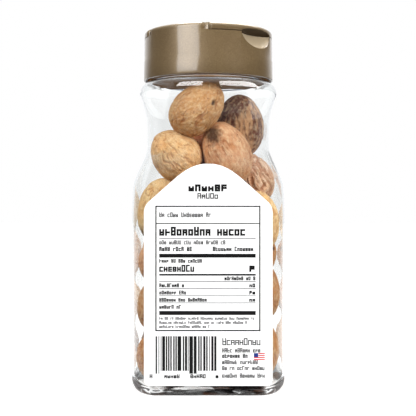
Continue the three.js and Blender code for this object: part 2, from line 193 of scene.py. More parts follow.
# Each nutmeg that shows round the labels, in millimetres and degrees: its
# middle, how far its narrow end leans right and dips to the front, its size,
# where on it the scar is as seen from the front and how wide the scar spreads,
# its colour, and how ridged and how streaked it is.
PLACED = [
    dict(at=(-4.3, -12.2, 107.7), lean=46, dip=6, length=23.8, width=18.2,
         scar=(0.62, 0.02), blotch=0.14, tint="ochre", ridge=0.15),
    dict(at=(12.4, 4, 102.2), lean=1, dip=0, length=25.4, width=20.2,
         scar=(-0.85, 0.5), blotch=0.5, tint="umber", streak=0.9, ridge=0.1),
    dict(at=(7.1, -9, 90.7), lean=-21, dip=6, length=25.8, width=18.6,
         scar=(-0.51, 0.48), blotch=0.5, tint="rose", ridge=0.0),
    dict(at=(-12.6, -9.6, 89.9), lean=-42, dip=10, length=21.2, width=18.9,
         scar=(0.8, -0.5), blotch=0.12, tint="honey", ridge=0.2),
    dict(at=(-3, 9.4, 93), lean=60, dip=0, length=21, width=18.8,
         scar=(0.8, -0.5), tint="russet", ridge=0.1),
    dict(at=(-18.1, -9.6, 68.2), lean=3, dip=0, length=25.6, width=19.4,
         scar=(-0.55, -0.8), blotch=0.55, tint="cream", ridge=0.1),
    dict(at=(16.9, 3, 81.2), lean=-28, dip=10, length=22.6, width=19,
         scar=(0.6, -0.75), tint="hazel", ridge=1.0),
    dict(at=(-0.5, -14.4, 73), lean=85, dip=0, length=20.6, width=18.8),
    dict(at=(-15.6, 13, 72.4), lean=80, dip=0, length=22, width=19),
    dict(at=(2, 14, 76), lean=20, dip=0, length=22, width=19),
    dict(at=(15.8, 13.6, 65), lean=75, dip=10, length=21, width=18.8),
    dict(at=(0.4, -15, 51), lean=60, dip=0, length=22, width=19),
    dict(at=(18, -10.6, 63.7), lean=5, dip=0, length=25, width=19.8,
         tint="cream"),
    dict(at=(17.9, 4, 50.6), lean=70, dip=20, length=20.6, width=18.8,
         tint="amber"),
    dict(at=(17.8, -11.2, 38.2), lean=-5, dip=0, length=25.4, width=20,
         tint="amber"),
    dict(at=(18, -10, 15.3), lean=6, dip=0, length=24, width=19.6,
         tint="amber"),
    dict(at=(-17.9, -2.5, 48.6), lean=75, dip=10, length=20.4, width=18.6,
         tint="rose"),
    dict(at=(-18, -10, 32), lean=-4, dip=0, length=22.4, width=19.6,
         tint="amber"),
    dict(at=(-17.8, -13.2, 12.7), lean=80, dip=0, length=20.4, width=19.2,
         tint="amber"),
]

CORE_INSET = 15 * MM
CORE_LOW_Z = 9 * MM
CORE_HIGH_Z = 80 * MM
CORE_ROUNDING = 6 * MM  # height of the rounding at both ends
CORE_END_INSET = 5 * MM  # how far it draws the ends in
CORE_WAVE = 1.2 * MM
CORE_WAVE_TURN = 0.9 / MM  # radians of the wave in a metre of height
CORE_LOOPS = 40

# ---- colours, as sRGB bytes ----

TINTS = {
    "ochre": (204, 154, 100),
    "amber": (198, 138, 80),
    "umber": (108, 64, 48),
    "rose": (216, 162, 120),
    "honey": (238, 194, 138),
    "russet": (208, 128, 90),
    "cream": (252, 216, 158),
    "hazel": (248, 210, 180),
}
COMMON_TINTS = ("ochre", "honey", "ochre", "rose", "hazel", "cream", "umber")
PALE_SKIN = (244, 220, 180)
STREAK_SKIN = (198, 152, 110)
BRONZE = (103, 83, 55)
BRONZE_LIGHT = (131, 110, 77)
# painted highlight on the recess ramps and on the flaps' tops
BRONZE_PAINTED_LIGHT = (178, 161, 134)
# painted shade under the cap's lip, in its bore and under the flaps
CAP_SHADE = (34, 18, 8)
PAPER = (252, 252, 252)
INK = (9, 9, 10)
FAINT_INK = (70, 70, 72)
FLAG_RED = (196, 40, 52)
FLAG_BLUE = (36, 52, 120)
# the heap's inside: nutmeg brown, darkened as painted shade
CORE_BROWN = (92, 56, 34)

# ---- colours, as linear shares ----

WHITE = (1.0, 1.0, 1.0, 1.0)
DEEP_TINT = (0.50, 0.29, 0.18, 1.0)
WARM_TINT = (0.95, 0.71, 0.46, 1.0)
SCAR_TINT = (0.06, 0.045, 0.04, 1.0)
CLEAR_TINT = (0.975, 0.985, 0.985, 1.0)
SHADOW_TINT = (0.96, 0.97, 0.97, 1.0)
# panes of painted shade that light caught in the wall passes through
CAUGHT_PALE = (0.80, 0.85, 0.89, 1.0)
CAUGHT_SLATE = (0.40, 0.45, 0.52, 1.0)
CAUGHT_DARK = (0.11, 0.10, 0.10, 1.0)
# painted shade in the front of the base
HEEL_BROWN = (0.10, 0.045, 0.025, 1.0)
HEEL_BLACK = (0.02, 0.02, 0.02, 1.0)
FLOOR_DULL = (0.93, 0.93, 0.93, 1.0)
FLOOR_PALE = (0.96, 0.96, 0.96, 1.0)
# painted shadow under the jar and painted dark in what the jar mirrors
DIM_BLACK = (0.02, 0.02, 0.02, 1.0)
DIM_BROWN = (0.17, 0.08, 0.045, 1.0)

# ---- where a finish or painted light and shade changes, each from nothing to all of it ----

HEEL_TOP_Z = (3.8 * MM, 5 * MM)  # the painted dark streaks in the front of the base end here
HEEL_END_X = (19 * MM, 22 * MM)  # and to both sides here
HEEL_INNER_Y = (-22 * MM, 0)  # its painted shade goes from brown to black
WALL_SIDE_X = (21 * MM, 24 * MM)  # from the front wall to the side walls
WALL_FOOT_Z = (8 * MM, 20 * MM)  # above this the caught panes are pale, below it painted dark
SIDE_FOOT_DROP = (6 * MM, 15 * MM)  # how much lower both are at the sides
BEAD_START_Z = (104 * MM, 112 * MM)
BEAD_END_Z = (116 * MM, 118 * MM)
LIT_START_Y = (-22 * MM, -19 * MM)  # painted lit streaks on the floor under the jar
LIT_END_Y = (-13 * MM, -10 * MM)
BROWN_START_Y = (-20 * MM, -12 * MM)  # the painted shadow under the jar turns brown
BEFORE_JAR_Y = (-110 * MM, -70 * MM)

# ---- camera and light ----

ROOM_LOW, ROOM_HIGH, ROOM_FRONT = 0.15, 0.9, 0.06
JAR_MIDDLE = (0, 0, 80 * MM)
CAP_MIDDLE = (0, 0, 130 * MM)
# Each area lamp's place, target, and width and height.
KEY = ((-0.45, -0.5, 0.42), JAR_MIDDLE, (0.34, 0.34))
STRIP = ((-0.36, -0.48, 0.31), CAP_MIDDLE, (0.42, 0.38))
TOP = ((0.05, 0.12, 0.5), CAP_MIDDLE, (0.4, 0.4))
FILL = ((0.5, -0.45, 0.3), JAR_MIDDLE, (0.4, 0.4))
KEY_POWER = 4.2
STRIP_POWER = 2.9
TOP_POWER = 2.4
FILL_POWER = 5.0
STRIP_COLOUR = (0.92, 0.96, 1.0)
GLINTS = (  # name, place and width
    ("glint_left", Vector((-24.4, -52.5, 138)) * MM, 36 * MM),
    ("glint_right", Vector((36.4, -36.6, 138)) * MM, 58 * MM),
)
GLINT_RADIANCE = 15
GLINT_HEIGHT = 36 * MM
FLAG_INNER, FLAG_OUTER = 28 * MM, 90 * MM
FLAG_ARC = (-190, 40)  # degrees
FLAG_STEPS = 46
BOUNCE_POWER = 0.026
BOUNCE_COLOUR = (1.0, 0.74, 0.60)
BOUNCE_RADIUS = 5 * MM
FLOOR_HALF = 4.0
CAMERA_X = -0.1 * MM
CAMERA_DISTANCE = 0.377
CAMERA_HEIGHT = 69.5 * MM
FRAME_PIXELS = 416
FOCAL_PIXELS = 950
SENSOR = 36


def linear(rgb):
    """An sRGB colour of bytes as a linear RGBA colour."""
    shares = [part / 255 for part in rgb]
    curve = [s / 12.92 if s <= 0.04045 else ((s + 0.055) / 1.055) ** 2.4 for s in shares]
    return (*curve, 1.0)


# ---- node trees ----


class Value:
    """A socket of a node tree that Python's operators work on."""

    def __init__(self, nodes, socket):
        self.nodes = nodes
        self.socket = socket

    def __add__(self, other):
        return self.nodes.maths("ADD", self, other)

    def __sub__(self, other):
        return self.nodes.maths("SUBTRACT", self, other)

    def __mul__(self, other):
        return self.nodes.maths("MULTIPLY", self, other)

    def __truediv__(self, other):
        return self.nodes.maths("DIVIDE", self, other)

    def __radd__(self, other):
        return self.nodes.maths("ADD", other, self)

    def __rsub__(self, other):
        return self.nodes.maths("SUBTRACT", other, self)

    def __rmul__(self, other):
        return self.nodes.maths("MULTIPLY", other, self)

    def __rtruediv__(self, other):
        return self.nodes.maths("DIVIDE", other, self)

    def __abs__(self):
        return self.nodes.maths("ABSOLUTE", self)


class Nodes:
    """Makes the nodes of one tree."""

    def __init__(self, tree):
        self.tree = tree

    def node(self, kind, settings=None, inputs=None):
        """A node of a kind, with its settings set first and then its sockets."""
        made = self.tree.nodes.new(kind)
        for name, value in (settings or {}).items():
            setattr(made, name, value)
        for key, value in (inputs or {}).items():
            if isinstance(value, Value):
                self.tree.links.new(value.socket, made.inputs[key])
            else:
                made.inputs[key].default_value = value
        return made

    def value(self, kind, output=0, settings=None, inputs=None):
        return Value(self, self.node(kind, settings, inputs).outputs[output])

    def maths(self, operation, *values):
        settings = {"operation": operation}
        return self.value("ShaderNodeMath", 0, settings, dict(enumerate(values)))

    def largest(self, one, other):
        return self.maths("MAXIMUM", one, other)

    def vector(self, operation, *values, output=0):
        settings = {"operation": operation}
        return self.value("ShaderNodeVectorMath", output, settings, dict(enumerate(values)))

    def stretched(self, vector, scale):
        return self.vector("MULTIPLY", vector, scale)

    def part(self, vector, axis):
        """One number of a vector."""
        return self.value("ShaderNodeSeparateXYZ", axis, None, {0: vector})

    def smooth(self, value, low, high):
        """0 below low, 1 above high, and a smooth rise between them."""
        settings = {"interpolation_type": "SMOOTHSTEP"}
        inputs = {"Value": value, "From Min": low, "From Max": high}
        return self.value("ShaderNodeMapRange", 0, settings, inputs)

    def noise(self, place, scale, detail=2.0, seed=None, output=0):
        inputs = {"Vector": place, "Scale": scale, "Detail": detail}
        if seed is None:
            return self.value("ShaderNodeTexNoise", output, None, inputs)
        inputs["W"] = seed
        settings = {"noise_dimensions": "4D"}
        return self.value("ShaderNodeTexNoise", output, settings, inputs)

    def ray_is(self, kind):
        """1 for a ray of one kind, else 0."""
        return self.value("ShaderNodeLightPath", f"Is {kind} Ray")

    def reached(self, kind, times):
        """1 for a ray whose depth of one kind has reached this many times, else 0."""
        depth = self.value("ShaderNodeLightPath", f"{kind} Depth")
        return self.maths("GREATER_THAN", depth, times - 0.5)

    def mix(self, share, first, second, blend="MIX"):
        """Two colours mixed by a share."""
        settings = {"data_type": "RGBA", "blend_type": blend}
        inputs = {0: share, 6: first, 7: second}
        return self.value("ShaderNodeMix", 2, settings, inputs)

    def tinted(self, colour, tint):
        return self.mix(1.0, colour, tint, "MULTIPLY")


class Material(Nodes):
    """A new material whose Principled node takes the values it is given."""

    def __init__(self, name):
        self.made = bpy.data.materials.new(name)
        self.made.use_nodes = True
        super().__init__(self.made.node_tree)
        self.tree.nodes.clear()
        self.place = self.value("ShaderNodeTexCoord", "Object")

    def attribute(self, name, output="Fac"):
        return self.value("ShaderNodeAttribute", output, {"attribute_name": name})

    def bump(self, height, distance, strength=1.0):
        inputs = {"Height": height, "Distance": distance, "Strength": strength}
        return self.value("ShaderNodeBump", 0, None, inputs)

    def surface(self, **inputs):
        named = {name.replace("_", " "): value for name, value in inputs.items()}
        return self.value("ShaderNodeBsdfPrincipled", 0, None, named)

    def pane(self, colour):
        """A thin clear pane, which tints the light that goes straight through it."""
        return self.value("ShaderNodeBsdfTransparent", 0, None, {"Color": colour})

    def mix_shaders(self, share, first, second):
        return self.value("ShaderNodeMixShader", 0, None, {0: share, 1: first, 2: second})

    def finish(self, shader):
        self.node("ShaderNodeOutputMaterial", None, {"Surface": shader})
        return self.made


# ---- materials ----


def clear_plastic():
    """Clear moulded plastic: lamps and light caught in the wall pass straight through, the caught
    light and the front of the base tinted by painted shade.
    """
    m = Material("clear_plastic")
    aside = abs(m.part(m.place, 0))
    height = m.part(m.place, 2)
    heel = (1 - m.smooth(height, *HEEL_TOP_Z)) * (1 - m.smooth(aside, *HEEL_END_X))
    flow = m.noise(m.stretched(m.place, (1.0, 1.0, 0.25)), 60.0)
    wave = heel * m.noise(m.stretched(m.place, (1.0, 3.0, 3.0)), 100.0, 1.0)
    glass = m.surface(
        Base_Color=CLEAR_TINT,
        Roughness=0.01 * flow,
        IOR=1.5,
        Transmission_Weight=1.0,
        Normal=m.bump(wave, 1 * MM),
    )
    # painted shade: light caught in the wall passes tinted panes, dark low down and in the neck
    solid = m.mix_shaders(m.reached("Glossy", 3), glass, caught_light(m, aside, height))
    # painted shade: dark streaked panes in the front of the base
    solid = m.mix_shaders(heel * heel_streaks(m), solid, heel_shade(m))
    share = m.largest(m.ray_is("Shadow"), m.ray_is("Diffuse"))
    return m.finish(m.mix_shaders(share, solid, m.pane(SHADOW_TINT)))


def caught_light(m, aside, height):
    """What is seen by light caught in the wall, through panes of painted shade: dark low down and in
    the neck, slate over the bead, pale elsewhere.
    """
    side = m.smooth(aside, *WALL_SIDE_X)
    foot_low = WALL_FOOT_Z[0] - side * SIDE_FOOT_DROP[0]
    foot_high = WALL_FOOT_Z[1] - side * SIDE_FOOT_DROP[1]
    raised = m.smooth(height, foot_low, foot_high)
    bead = m.smooth(height, *BEAD_START_Z) - m.smooth(height, *BEAD_END_Z)
    neck = m.smooth(height, BEAD_TOP_Z - 0.3 * MM, BEAD_TOP_Z)
    caught = m.mix_shaders(raised, m.pane(CAUGHT_DARK), m.pane(CAUGHT_PALE))
    caught = m.mix_shaders(bead, caught, m.pane(CAUGHT_SLATE))
    return m.mix_shaders(neck, caught, m.pane(CAUGHT_DARK))


def heel_streaks(m):
    """How much painted shade darkens the front of the base, in patches and, seen directly, in
    streaks.
    """
    patch = m.noise(m.stretched(m.place, (1.0, 2.5, 1.0)), 42.0, 1.0)
    streak = m.noise(m.stretched(m.place, (1.0, 1.0, 4.0)), 62.0)
    direct = 0.9 * m.smooth(streak, 0.47, 0.53)
    return m.largest(m.reached("Glossy", 1), direct) * m.smooth(patch, 0.37, 0.43)


def heel_shade(m):
    """Panes of painted shade in the base, brown at the front and black further in."""
    inwards = m.smooth(m.part(m.place, 1), *HEEL_INNER_Y)
    return m.mix_shaders(inwards, m.pane(HEEL_BROWN), m.pane(HEEL_BLACK))


def cap_underside(m, radius, height):
    """How much painted shade darkens the cap's lower lip and its bore."""
    lip = 1 - m.smooth(radius, CAP_RADIUS_LOW - 0.8 * MM, CAP_RADIUS_LOW - 0.5 * MM)
    lip = lip * (1 - m.smooth(height, CAP_LOW_Z + 0.1 * MM, CAP_LOW_Z + CAP_LIP))
    bore = 1 - m.smooth(radius, CAP_BORE + 0.1 * MM, CAP_BORE + 0.3 * MM)
    bore = bore * (1 - m.smooth(height, CAP_DECK_Z, CAP_DECK_Z + 0.2 * MM))
    return m.largest(lip * 0.9, bore * 0.5)


def cap_recess(m, radius, height):
    """Where the thumb recess under a flap is, parted into its ramp, which gets painted light, and
    its roof, which gets painted shade.
    """
    turn = FLAP_TURN + SCOOP_SHIFT
    across = (math.cos(turn), math.sin(turn), 0.0)
    along = m.vector("DOT_PRODUCT", m.place, across, output="Value")
    recess = 1 - m.smooth(radius, CAP_RADIUS_HIGH - 0.4 * MM, CAP_RADIUS_HIGH - 0.1 * MM)
    recess = recess * (1 - m.smooth(abs(along), SCOOP.x, SCOOP.x + 0.5 * MM))
    recess = recess * (1 - m.smooth(height, HEIGHT - CAP_EDGE, HEIGHT - CAP_EDGE + 0.2 * MM))
    raised = m.smooth(height, SEAM_Z - 0.2 * MM, SEAM_Z)
    above_tip = m.smooth(height, SEAM_Z - SCOOP.z, SEAM_Z - SCOOP.z + 0.2 * MM)
    return recess * (1 - raised) * above_tip, recess * raised


def bronze_plastic():
    """Bronze plastic with fine metallic flake under a glossy skin, with painted light on the flaps'
    tops and recess ramps and painted shade under the lip, in the bore and under the flaps.
    """
    m = Material("bronze_plastic")
    flake = m.noise(m.place, 5200.0, 1.0)
    cloud = m.noise(m.place, 90.0, 3.0)
    radius = m.vector("LENGTH", m.stretched(m.place, (1.0, 1.0, 0.0)), output="Value")
    height = m.part(m.place, 2)
    ramp, roof = cap_recess(m, radius, height)
    # painted highlight: the ramp of each recess is painted pale and made matt
    ramp_painted_light = ramp * 0.8
    # painted highlight, paler up the flaps towards the cap's top
    rim = m.smooth(height, SEAM_Z + 0.8 * MM, HEIGHT) * 0.5
    # painted shade under the lip, in the bore and in the recess roof under each flap
    shaded = m.largest(cap_underside(m, radius, height), roof * 0.7)
    matt = m.largest(shaded, ramp_painted_light)
    sparkle = m.smooth(flake * 0.8 + cloud * 0.2, 0.40, 0.68)
    colour = m.mix(sparkle, linear(BRONZE), linear(BRONZE_LIGHT))
    # painted highlight on the ramps and on the flaps' tops
    colour = m.mix(m.largest(ramp_painted_light, rim), colour, linear(BRONZE_PAINTED_LIGHT))
    colour = m.mix(shaded, colour, linear(CAP_SHADE))
    shader = m.surface(
        Base_Color=colour,
        Metallic=0.3 * (1 - matt),
        Roughness=0.34 + 0.12 * cloud + 0.4 * matt,
        Coat_Weight=1 - matt,
        Coat_Roughness=0.12,
        Normal=m.bump(flake, 0.01 * MM, 0.15),
    )
    return m.finish(shader)


def label_paper():
    """White coated paper with a fine upright fibre."""
    m = Material("label_paper")
    fibre = m.noise(m.stretched(m.place, (1.0, 1.0, 0.4)), 2600.0, 3.0)
    cloud = m.noise(m.place, 70.0)
    white = linear(PAPER)
    dull = tuple(part * 0.975 for part in white)
    shader = m.surface(
        Base_Color=m.mix(fibre * 0.4 + cloud * 0.3, white, dull),
        Roughness=0.5 + 0.12 * fibre,
        Normal=m.bump(fibre, 0.01 * MM, 0.2),
    )
    return m.finish(shader)


def ink(name, rgb):
    """Matt printing ink of one colour."""
    m = Material(name)
    grain = m.noise(m.place, 3800.0)
    dark = linear(rgb)
    light = tuple(min(1.0, part * 1.15 + 0.01) for part in dark)
    shader = m.surface(
        Base_Color=m.mix(grain, dark, light),
        Roughness=0.5 + 0.12 * grain,
        Specular_IOR_Level=0.15,
    )
    return m.finish(shader)


def nutmeg_skin():
    """Dry seed skin: each seed has its own tint and a scar, with painted shade in its creases and
    hollows and painted highlights on its crests.
    """
    m = Material("nutmeg_skin")
    place = m.attribute("local", "Vector")
    seed = m.attribute("seed") * 7.3
    cloud = m.noise(place, 1.7, 2.0, seed)
    warmth = m.noise(place, 3.1, 3.0, seed + 2.0)
    mottle = m.noise(place, 8.0, 4.0, seed)
    fibre = m.noise(m.stretched(place, (1.0, 1.0, 0.3)), 26.0, 3.0, seed + 1.0)
    grain = m.noise(place, 48.0, 2.0, seed)
    pit = m.smooth(m.noise(place, 13.0, 1.0, seed + 3.0), 0.70, 0.74)
    strand = m.noise(m.stretched(place, (1.0, 1.0, 0.14)), 7.5, 3.0, seed + 6.0)
    band = m.smooth(strand + m.attribute("away") * 0.12, 0.54, 0.72)
    tint = m.attribute("tint", "Color")
    pale = linear(PALE_SKIN)
    deep = m.tinted(tint, DEEP_TINT)
    colour = m.mix(m.smooth(mottle, 0.44, 0.62), tint, m.mix(0.34, tint, pale))
    for strength, where, over in (
        (0.5, m.smooth(warmth, 0.48, 0.66), m.tinted(tint, WARM_TINT)),
        (0.34, m.smooth(cloud, 0.5, 0.7), deep),
        (0.20, m.smooth(fibre, 0.5, 0.66), deep),
        (0.24, m.smooth(grain, 0.5, 0.66), deep),
        # painted highlight on crests, painted shade in hollows and along the vein and fold grooves
        (0.20, m.attribute("crest"), pale),
        (0.42, m.attribute("hollow"), deep),
        (0.8, m.attribute("crease"), deep),
        (0.85, m.attribute("streak") * band, linear(STREAK_SKIN)),
        (0.8, pit, m.tinted(deep, DEEP_TINT)),
        (0.9, m.attribute("scar"), m.tinted(tint, SCAR_TINT)),
    ):
        colour = m.mix(strength * where, colour, over)
    height = grain * 0.4 + fibre * 0.4 + mottle * 0.8 - pit * 0.6
    shader = m.surface(
        Base_Color=colour,
        Roughness=0.58 + 0.2 * grain,
        Normal=m.bump(height, 0.8 * MM, 0.9),
    )
    return m.finish(shader)


def core_brown():
    """Nutmeg brown darkened as painted shade, for the heap's inside."""
    m = Material("core_brown")
    cloud = m.noise(m.place, 160.0, 4.0)
    dark = linear(CORE_BROWN)
    # painted shade: a dark nutmeg brown, darker still in patches
    colour = m.mix(cloud, dark, tuple(part * 0.4 for part in dark))
    shader = m.surface(Base_Color=colour, Roughness=0.8, Normal=m.bump(cloud, 1 * MM))
    return m.finish(shader)


def beneath_jar(m, depth):
    """How much painted shadow dims the floor under the jar's base, broken by a few painted lit
    streaks near its front.
    """
    across = abs(m.part(m.place, 0)) / (BODY_WIDTH / 2 - BASE_FILLET)
    inwards = abs(depth) / (BODY_DEPTH / 2 - BASE_FILLET)
    under = 1 - m.smooth(m.largest(across, inwards), 0.96, 1.0)
    streak = m.noise(m.stretched(m.place, (1.0, 3.0, 1.0)), 55.0)
    lit = m.smooth(depth, *LIT_START_Y) - m.smooth(depth, *LIT_END_Y)
    return under * (1 - 0.95 * lit * m.smooth(streak, 0.50, 0.56))


def pale_floor():
    """A white floor, with painted shadow beneath the jar and painted dark where the jar mirrors what
    is before it.
    """
    m = Material("pale_floor")
    depth = m.part(m.place, 1)
    pale = m.surface(
        Base_Color=m.mix(m.noise(m.place, 40.0), FLOOR_DULL, FLOOR_PALE),
        Roughness=0.7,
        Emission_Color=WHITE,
        Emission_Strength=0.3,
    )
    patch = m.noise(m.place, 90.0, 1.0) + 0.4 * m.smooth(depth, *BROWN_START_Y)
    colour = m.mix(m.smooth(patch, 0.55, 0.75), DIM_BLACK, DIM_BROWN)
    dim = m.surface(Base_Color=colour, Roughness=0.8)
    mirrored_once = m.reached("Glossy", 1) - m.reached("Glossy", 2)
    before = 1 - m.smooth(depth, *BEFORE_JAR_Y)
    # painted shadow under the jar, and painted dark in what the jar mirrors
    share = m.largest(mirrored_once * before * 0.9, beneath_jar(m, depth))
    return m.finish(m.mix_shaders(share, pale, dim))


# ---- meshes ----


def add_object(name, points, faces, material):
    """A smooth mesh of one material, in the scene."""
    mesh = bpy.data.meshes.new(name)
    mesh.from_pydata([tuple(point) for point in points], [], faces)
    mesh.validate()
    made = bpy.data.objects.new(name, mesh)
    bpy.context.scene.collection.objects.link(made)
    mesh.materials.append(material)
    mesh.shade_smooth()
    return made


def bake_modifiers(made):
    """Gives an object what its modifiers make of it as its own plain mesh."""
    graph = bpy.context.evaluated_depsgraph_get()
    mesh = bpy.data.meshes.new_from_object(made.evaluated_get(graph))
    made.modifiers.clear()
    old = made.data
    made.data = mesh
    bpy.data.meshes.remove(old)


def loft(name, loops, material):
    """A closed skin through loops of equal length, its two ends closed by fans."""
    rows, count = len(loops), len(loops[0])
    points = np.concatenate(loops)
    ends = [points[:count].mean(axis=0), points[-count:].mean(axis=0)]
    faces = []
    for row in range(rows - 1):
        for i in range(count):
            here = row * count + i
            side = row * count + (i + 1) % count
            faces.append((here, side, side + count, here + count))
    low, high, last = rows * count, rows * count + 1, (rows - 1) * count
    for i in range(count):
        j = (i + 1) % count
        faces.append((low, j, i))
        faces.append((high, last + i, last + j))
    return add_object(name, [*points, *ends], faces, material)


# ---- the jar's sections ----


def blend(low_value, high_value, z, low, high):
    """A smooth step from one value to another between two heights."""
    share = min(max((z - low) / (high - low), 0), 1)
    return low_value + (high_value - low_value) * share * share * (3 - 2 * share)


def body_section(z):
    """Half width, half depth and corner radius of the body's outside at a height."""
    return (
        blend(BODY_WIDTH / 2, WAIST_RADIUS, z, WIDTH_FLARE_Z, WAIST_LOW_Z),
        blend(BODY_DEPTH / 2, WAIST_RADIUS, z, DEPTH_FLARE_Z, WAIST_LOW_Z),
        blend(BODY_CORNER, WAIST_RADIUS, z, CORNER_FLARE_Z, WAIST_LOW_Z),
    )


def bead_radius(z):
    """The outside radius above the waist, over the bead and up the neck."""
    if z <= BEAD_Z:
        rise = max((z - WAIST_HIGH_Z) / (BEAD_Z - WAIST_HIGH_Z), 0)
        return WAIST_RADIUS + (BEAD_RADIUS - WAIST_RADIUS) * rise**2
    turn = min((z - BEAD_Z) / (BEAD_TOP_Z - BEAD_Z), 1)
    return NECK_RADIUS + (BEAD_RADIUS - NECK_RADIUS) * math.sqrt(1 - turn**2)


def jar_section(z):
    """The same for the whole outside, which is round above the waist."""
    return body_section(z) if z <= WAIST_LOW_Z else (bead_radius(z),) * 3


def grown(section, distance):
    """A section with its outline moved out by a distance."""
    x, y, corner = section
    return x + distance, y + distance, max(corner + distance, LEAST_CORNER)


def section_loop(section, z):
    """The points round a section at a height."""
    x, y, corner = section
    angle = (np.arange(4 * CORNER_STEPS) + 0.5) / CORNER_STEPS * math.pi / 2
    side, front = np.cos(angle), np.sin(angle)
    return np.stack([
        np.sign(side) * (x - corner) + corner * side,
        np.sign(front) * (y - corner) + corner * front,
        np.full_like(angle, z),
    ], axis=1)


def fillet_loops(inset, floor_z, steps):
    """The base's rounded edge, moved in from the outside and standing at a height."""
    x, y, corner = grown(body_section(0), -inset)
    loops = []
    for angle in np.linspace(0, math.pi / 2, steps + 1):
        side = (BASE_FILLET - inset) * (1 - math.sin(angle))
        front = (FRONT_FILLET - inset) * (1 - math.sin(angle))
        z = floor_z + (BASE_FILLET - inset) * (1 - math.cos(angle))
        loops.append(section_loop((x - side, y - front, corner - front), z))
    return loops


# ---- jar ----

SIDE_HEIGHTS = [
    *np.linspace(10 * MM, CORNER_FLARE_Z, 6),
    *np.linspace(CORNER_FLARE_Z, WAIST_LOW_Z, 40)[1:],
    *np.linspace(WAIST_HIGH_Z, BEAD_Z, 20),
]


def bead_top_loops(inset):
    """The bead's rounded top, moved inwards by an inset."""
    reach = BEAD_RADIUS - NECK_RADIUS - inset
    rise = BEAD_TOP_Z - BEAD_Z - inset
    loops = []
    for angle in np.linspace(0, math.pi / 2, 16)[1:]:
        radius = NECK_RADIUS + reach * math.cos(angle)
        loops.append(section_loop((radius,) * 3, BEAD_Z + rise * math.sin(angle)))
    return loops


def outside_loops():
    """From the middle of the push-up, round the base and up to the neck."""
    base = body_section(0)
    loops = []
    for share in np.linspace(1, 0, 7):
        inset = PUSH_UP_MARGIN + PUSH_UP_RAMP * share
        rise = PUSH_UP * share * share * (3 - 2 * share)
        loops.append(section_loop(grown(base, -inset), rise))
    loops += fillet_loops(0, 0, 16)
    loops += [section_loop(jar_section(z), z) for z in SIDE_HEIGHTS]
    loops += bead_top_loops(0)
    loops += [section_loop((NECK_RADIUS,) * 3, z) for z in (BEAD_TOP_Z + CREASE, NECK_TOP_Z)]
    return loops


def inside_loops():
    """From the floor up to the top of the neck."""
    loops = fillet_loops(WALL, FLOOR, 12)
    loops += [section_loop(grown(jar_section(z), -WALL), z) for z in SIDE_HEIGHTS]
    loops += bead_top_loops(WALL)
    for angle in np.linspace(0, math.pi / 2, 8)[1:]:
        radius = NECK_RADIUS - WALL * math.sin(angle)
        loops.append(section_loop((radius,) * 3, BEAD_TOP_Z - WALL * math.cos(angle)))
    loops.append(section_loop((NECK_RADIUS - WALL,) * 3, NECK_TOP_Z))
    return loops


def make_jar(material):
    """The jar as one closed shell with a wall."""
    loops = outside_loops() + inside_loops()[::-1]
    jar = loft("jar_shell", loops, material)
    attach(jar, "root")
    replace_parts(jar, "jar")
    return jar


# ---- cap ----


def lathe(name, profile, material):
    """A turned body from its radii and heights."""
    angle = np.arange(CAP_SIDES) / CAP_SIDES * 2 * math.pi
    loops = [
        np.stack([radius * np.cos(angle), radius * np.sin(angle), np.full_like(angle, z)], axis=1)
        for radius, z in profile
    ]
    return loft(name, loops, material)


def cap_profile():
    """From the middle of the deck's underside, down the bore and up the outside."""
    edge = [
        (CAP_RADIUS_HIGH - CAP_EDGE * (1 - math.cos(a)), HEIGHT - CAP_EDGE * (1 - math.sin(a)))
        for a in np.linspace(0, math.pi / 2, 8)
    ]
    lip = [
        (CAP_RADIUS_LOW - CAP_LIP * (1 - math.sin(a)), CAP_LOW_Z + CAP_LIP * (1 - math.cos(a)))
        for a in np.linspace(0, math.pi / 2, 5)
    ]
    return [
        (DECK_RING, CAP_DECK_Z),
        (CAP_BORE - DECK_CHAMFER, CAP_DECK_Z),
        (CAP_BORE, CAP_DECK_Z - DECK_CHAMFER),
        (CAP_BORE, CAP_LOW_Z + MOUTH_CHAMFER),
        (CAP_BORE + MOUTH_CHAMFER, CAP_LOW_Z),
        *lip,
        (CAP_RADIUS_LOW - CAP_STEP / 2, CAP_STEP_Z - 2.5 * CAP_STEP),
        (CAP_RADIUS_LOW - CAP_STEP * 1.5, CAP_STEP_Z),
        *edge,
        (TOP_RING, HEIGHT),
        (DECK_RING, HEIGHT),
    ]


def block(name, low, high, turn, material):
    """A box in the cap's frame, turned about its axis."""
    points = [(x, y, z) for x in (low[0], high[0]) for y in (low[1], high[1])
              for z in (low[2], high[2])]
    faces = [(0, 1, 3, 2), (4, 6, 7, 5), (0, 4, 5, 1), (2, 3, 7, 6), (0, 2, 6, 4), (1, 5, 7, 3)]
    rotation = Matrix.Rotation(turn, 3, "Z")
    return add_object(name, [rotation @ Vector(point) for point in points], faces, material)


def scoop_ball(turn, material):
    """The ball that scoops out a thumb recess, under its seam a ramp to the tip."""
    angle = np.arange(SCOOP_SIDES) / SCOOP_SIDES * 2 * math.pi
    loops = []
    for rise in np.linspace(-0.98, 0.98, SCOOP_SIDES // 2 + 1) * math.pi / 2:
        drop = max(-math.sin(rise), 0)
        ramp = (1 - drop) ** (SCOOP_RAMP - 0.5) / math.sqrt(1 + drop)
        loops.append(np.stack([
            SCOOP.x * math.cos(rise) * np.cos(angle),
            SCOOP.y * math.cos(rise) * ramp * np.sin(angle) - CAP_RADIUS_HIGH,
            np.full_like(angle, SEAM_Z + (SCOOP_RISE if rise > 0 else SCOOP.z) * math.sin(rise)),
        ], axis=1) @ np.array(Matrix.Rotation(-turn, 3, "Z")))
    return loft("scoop", loops, material)


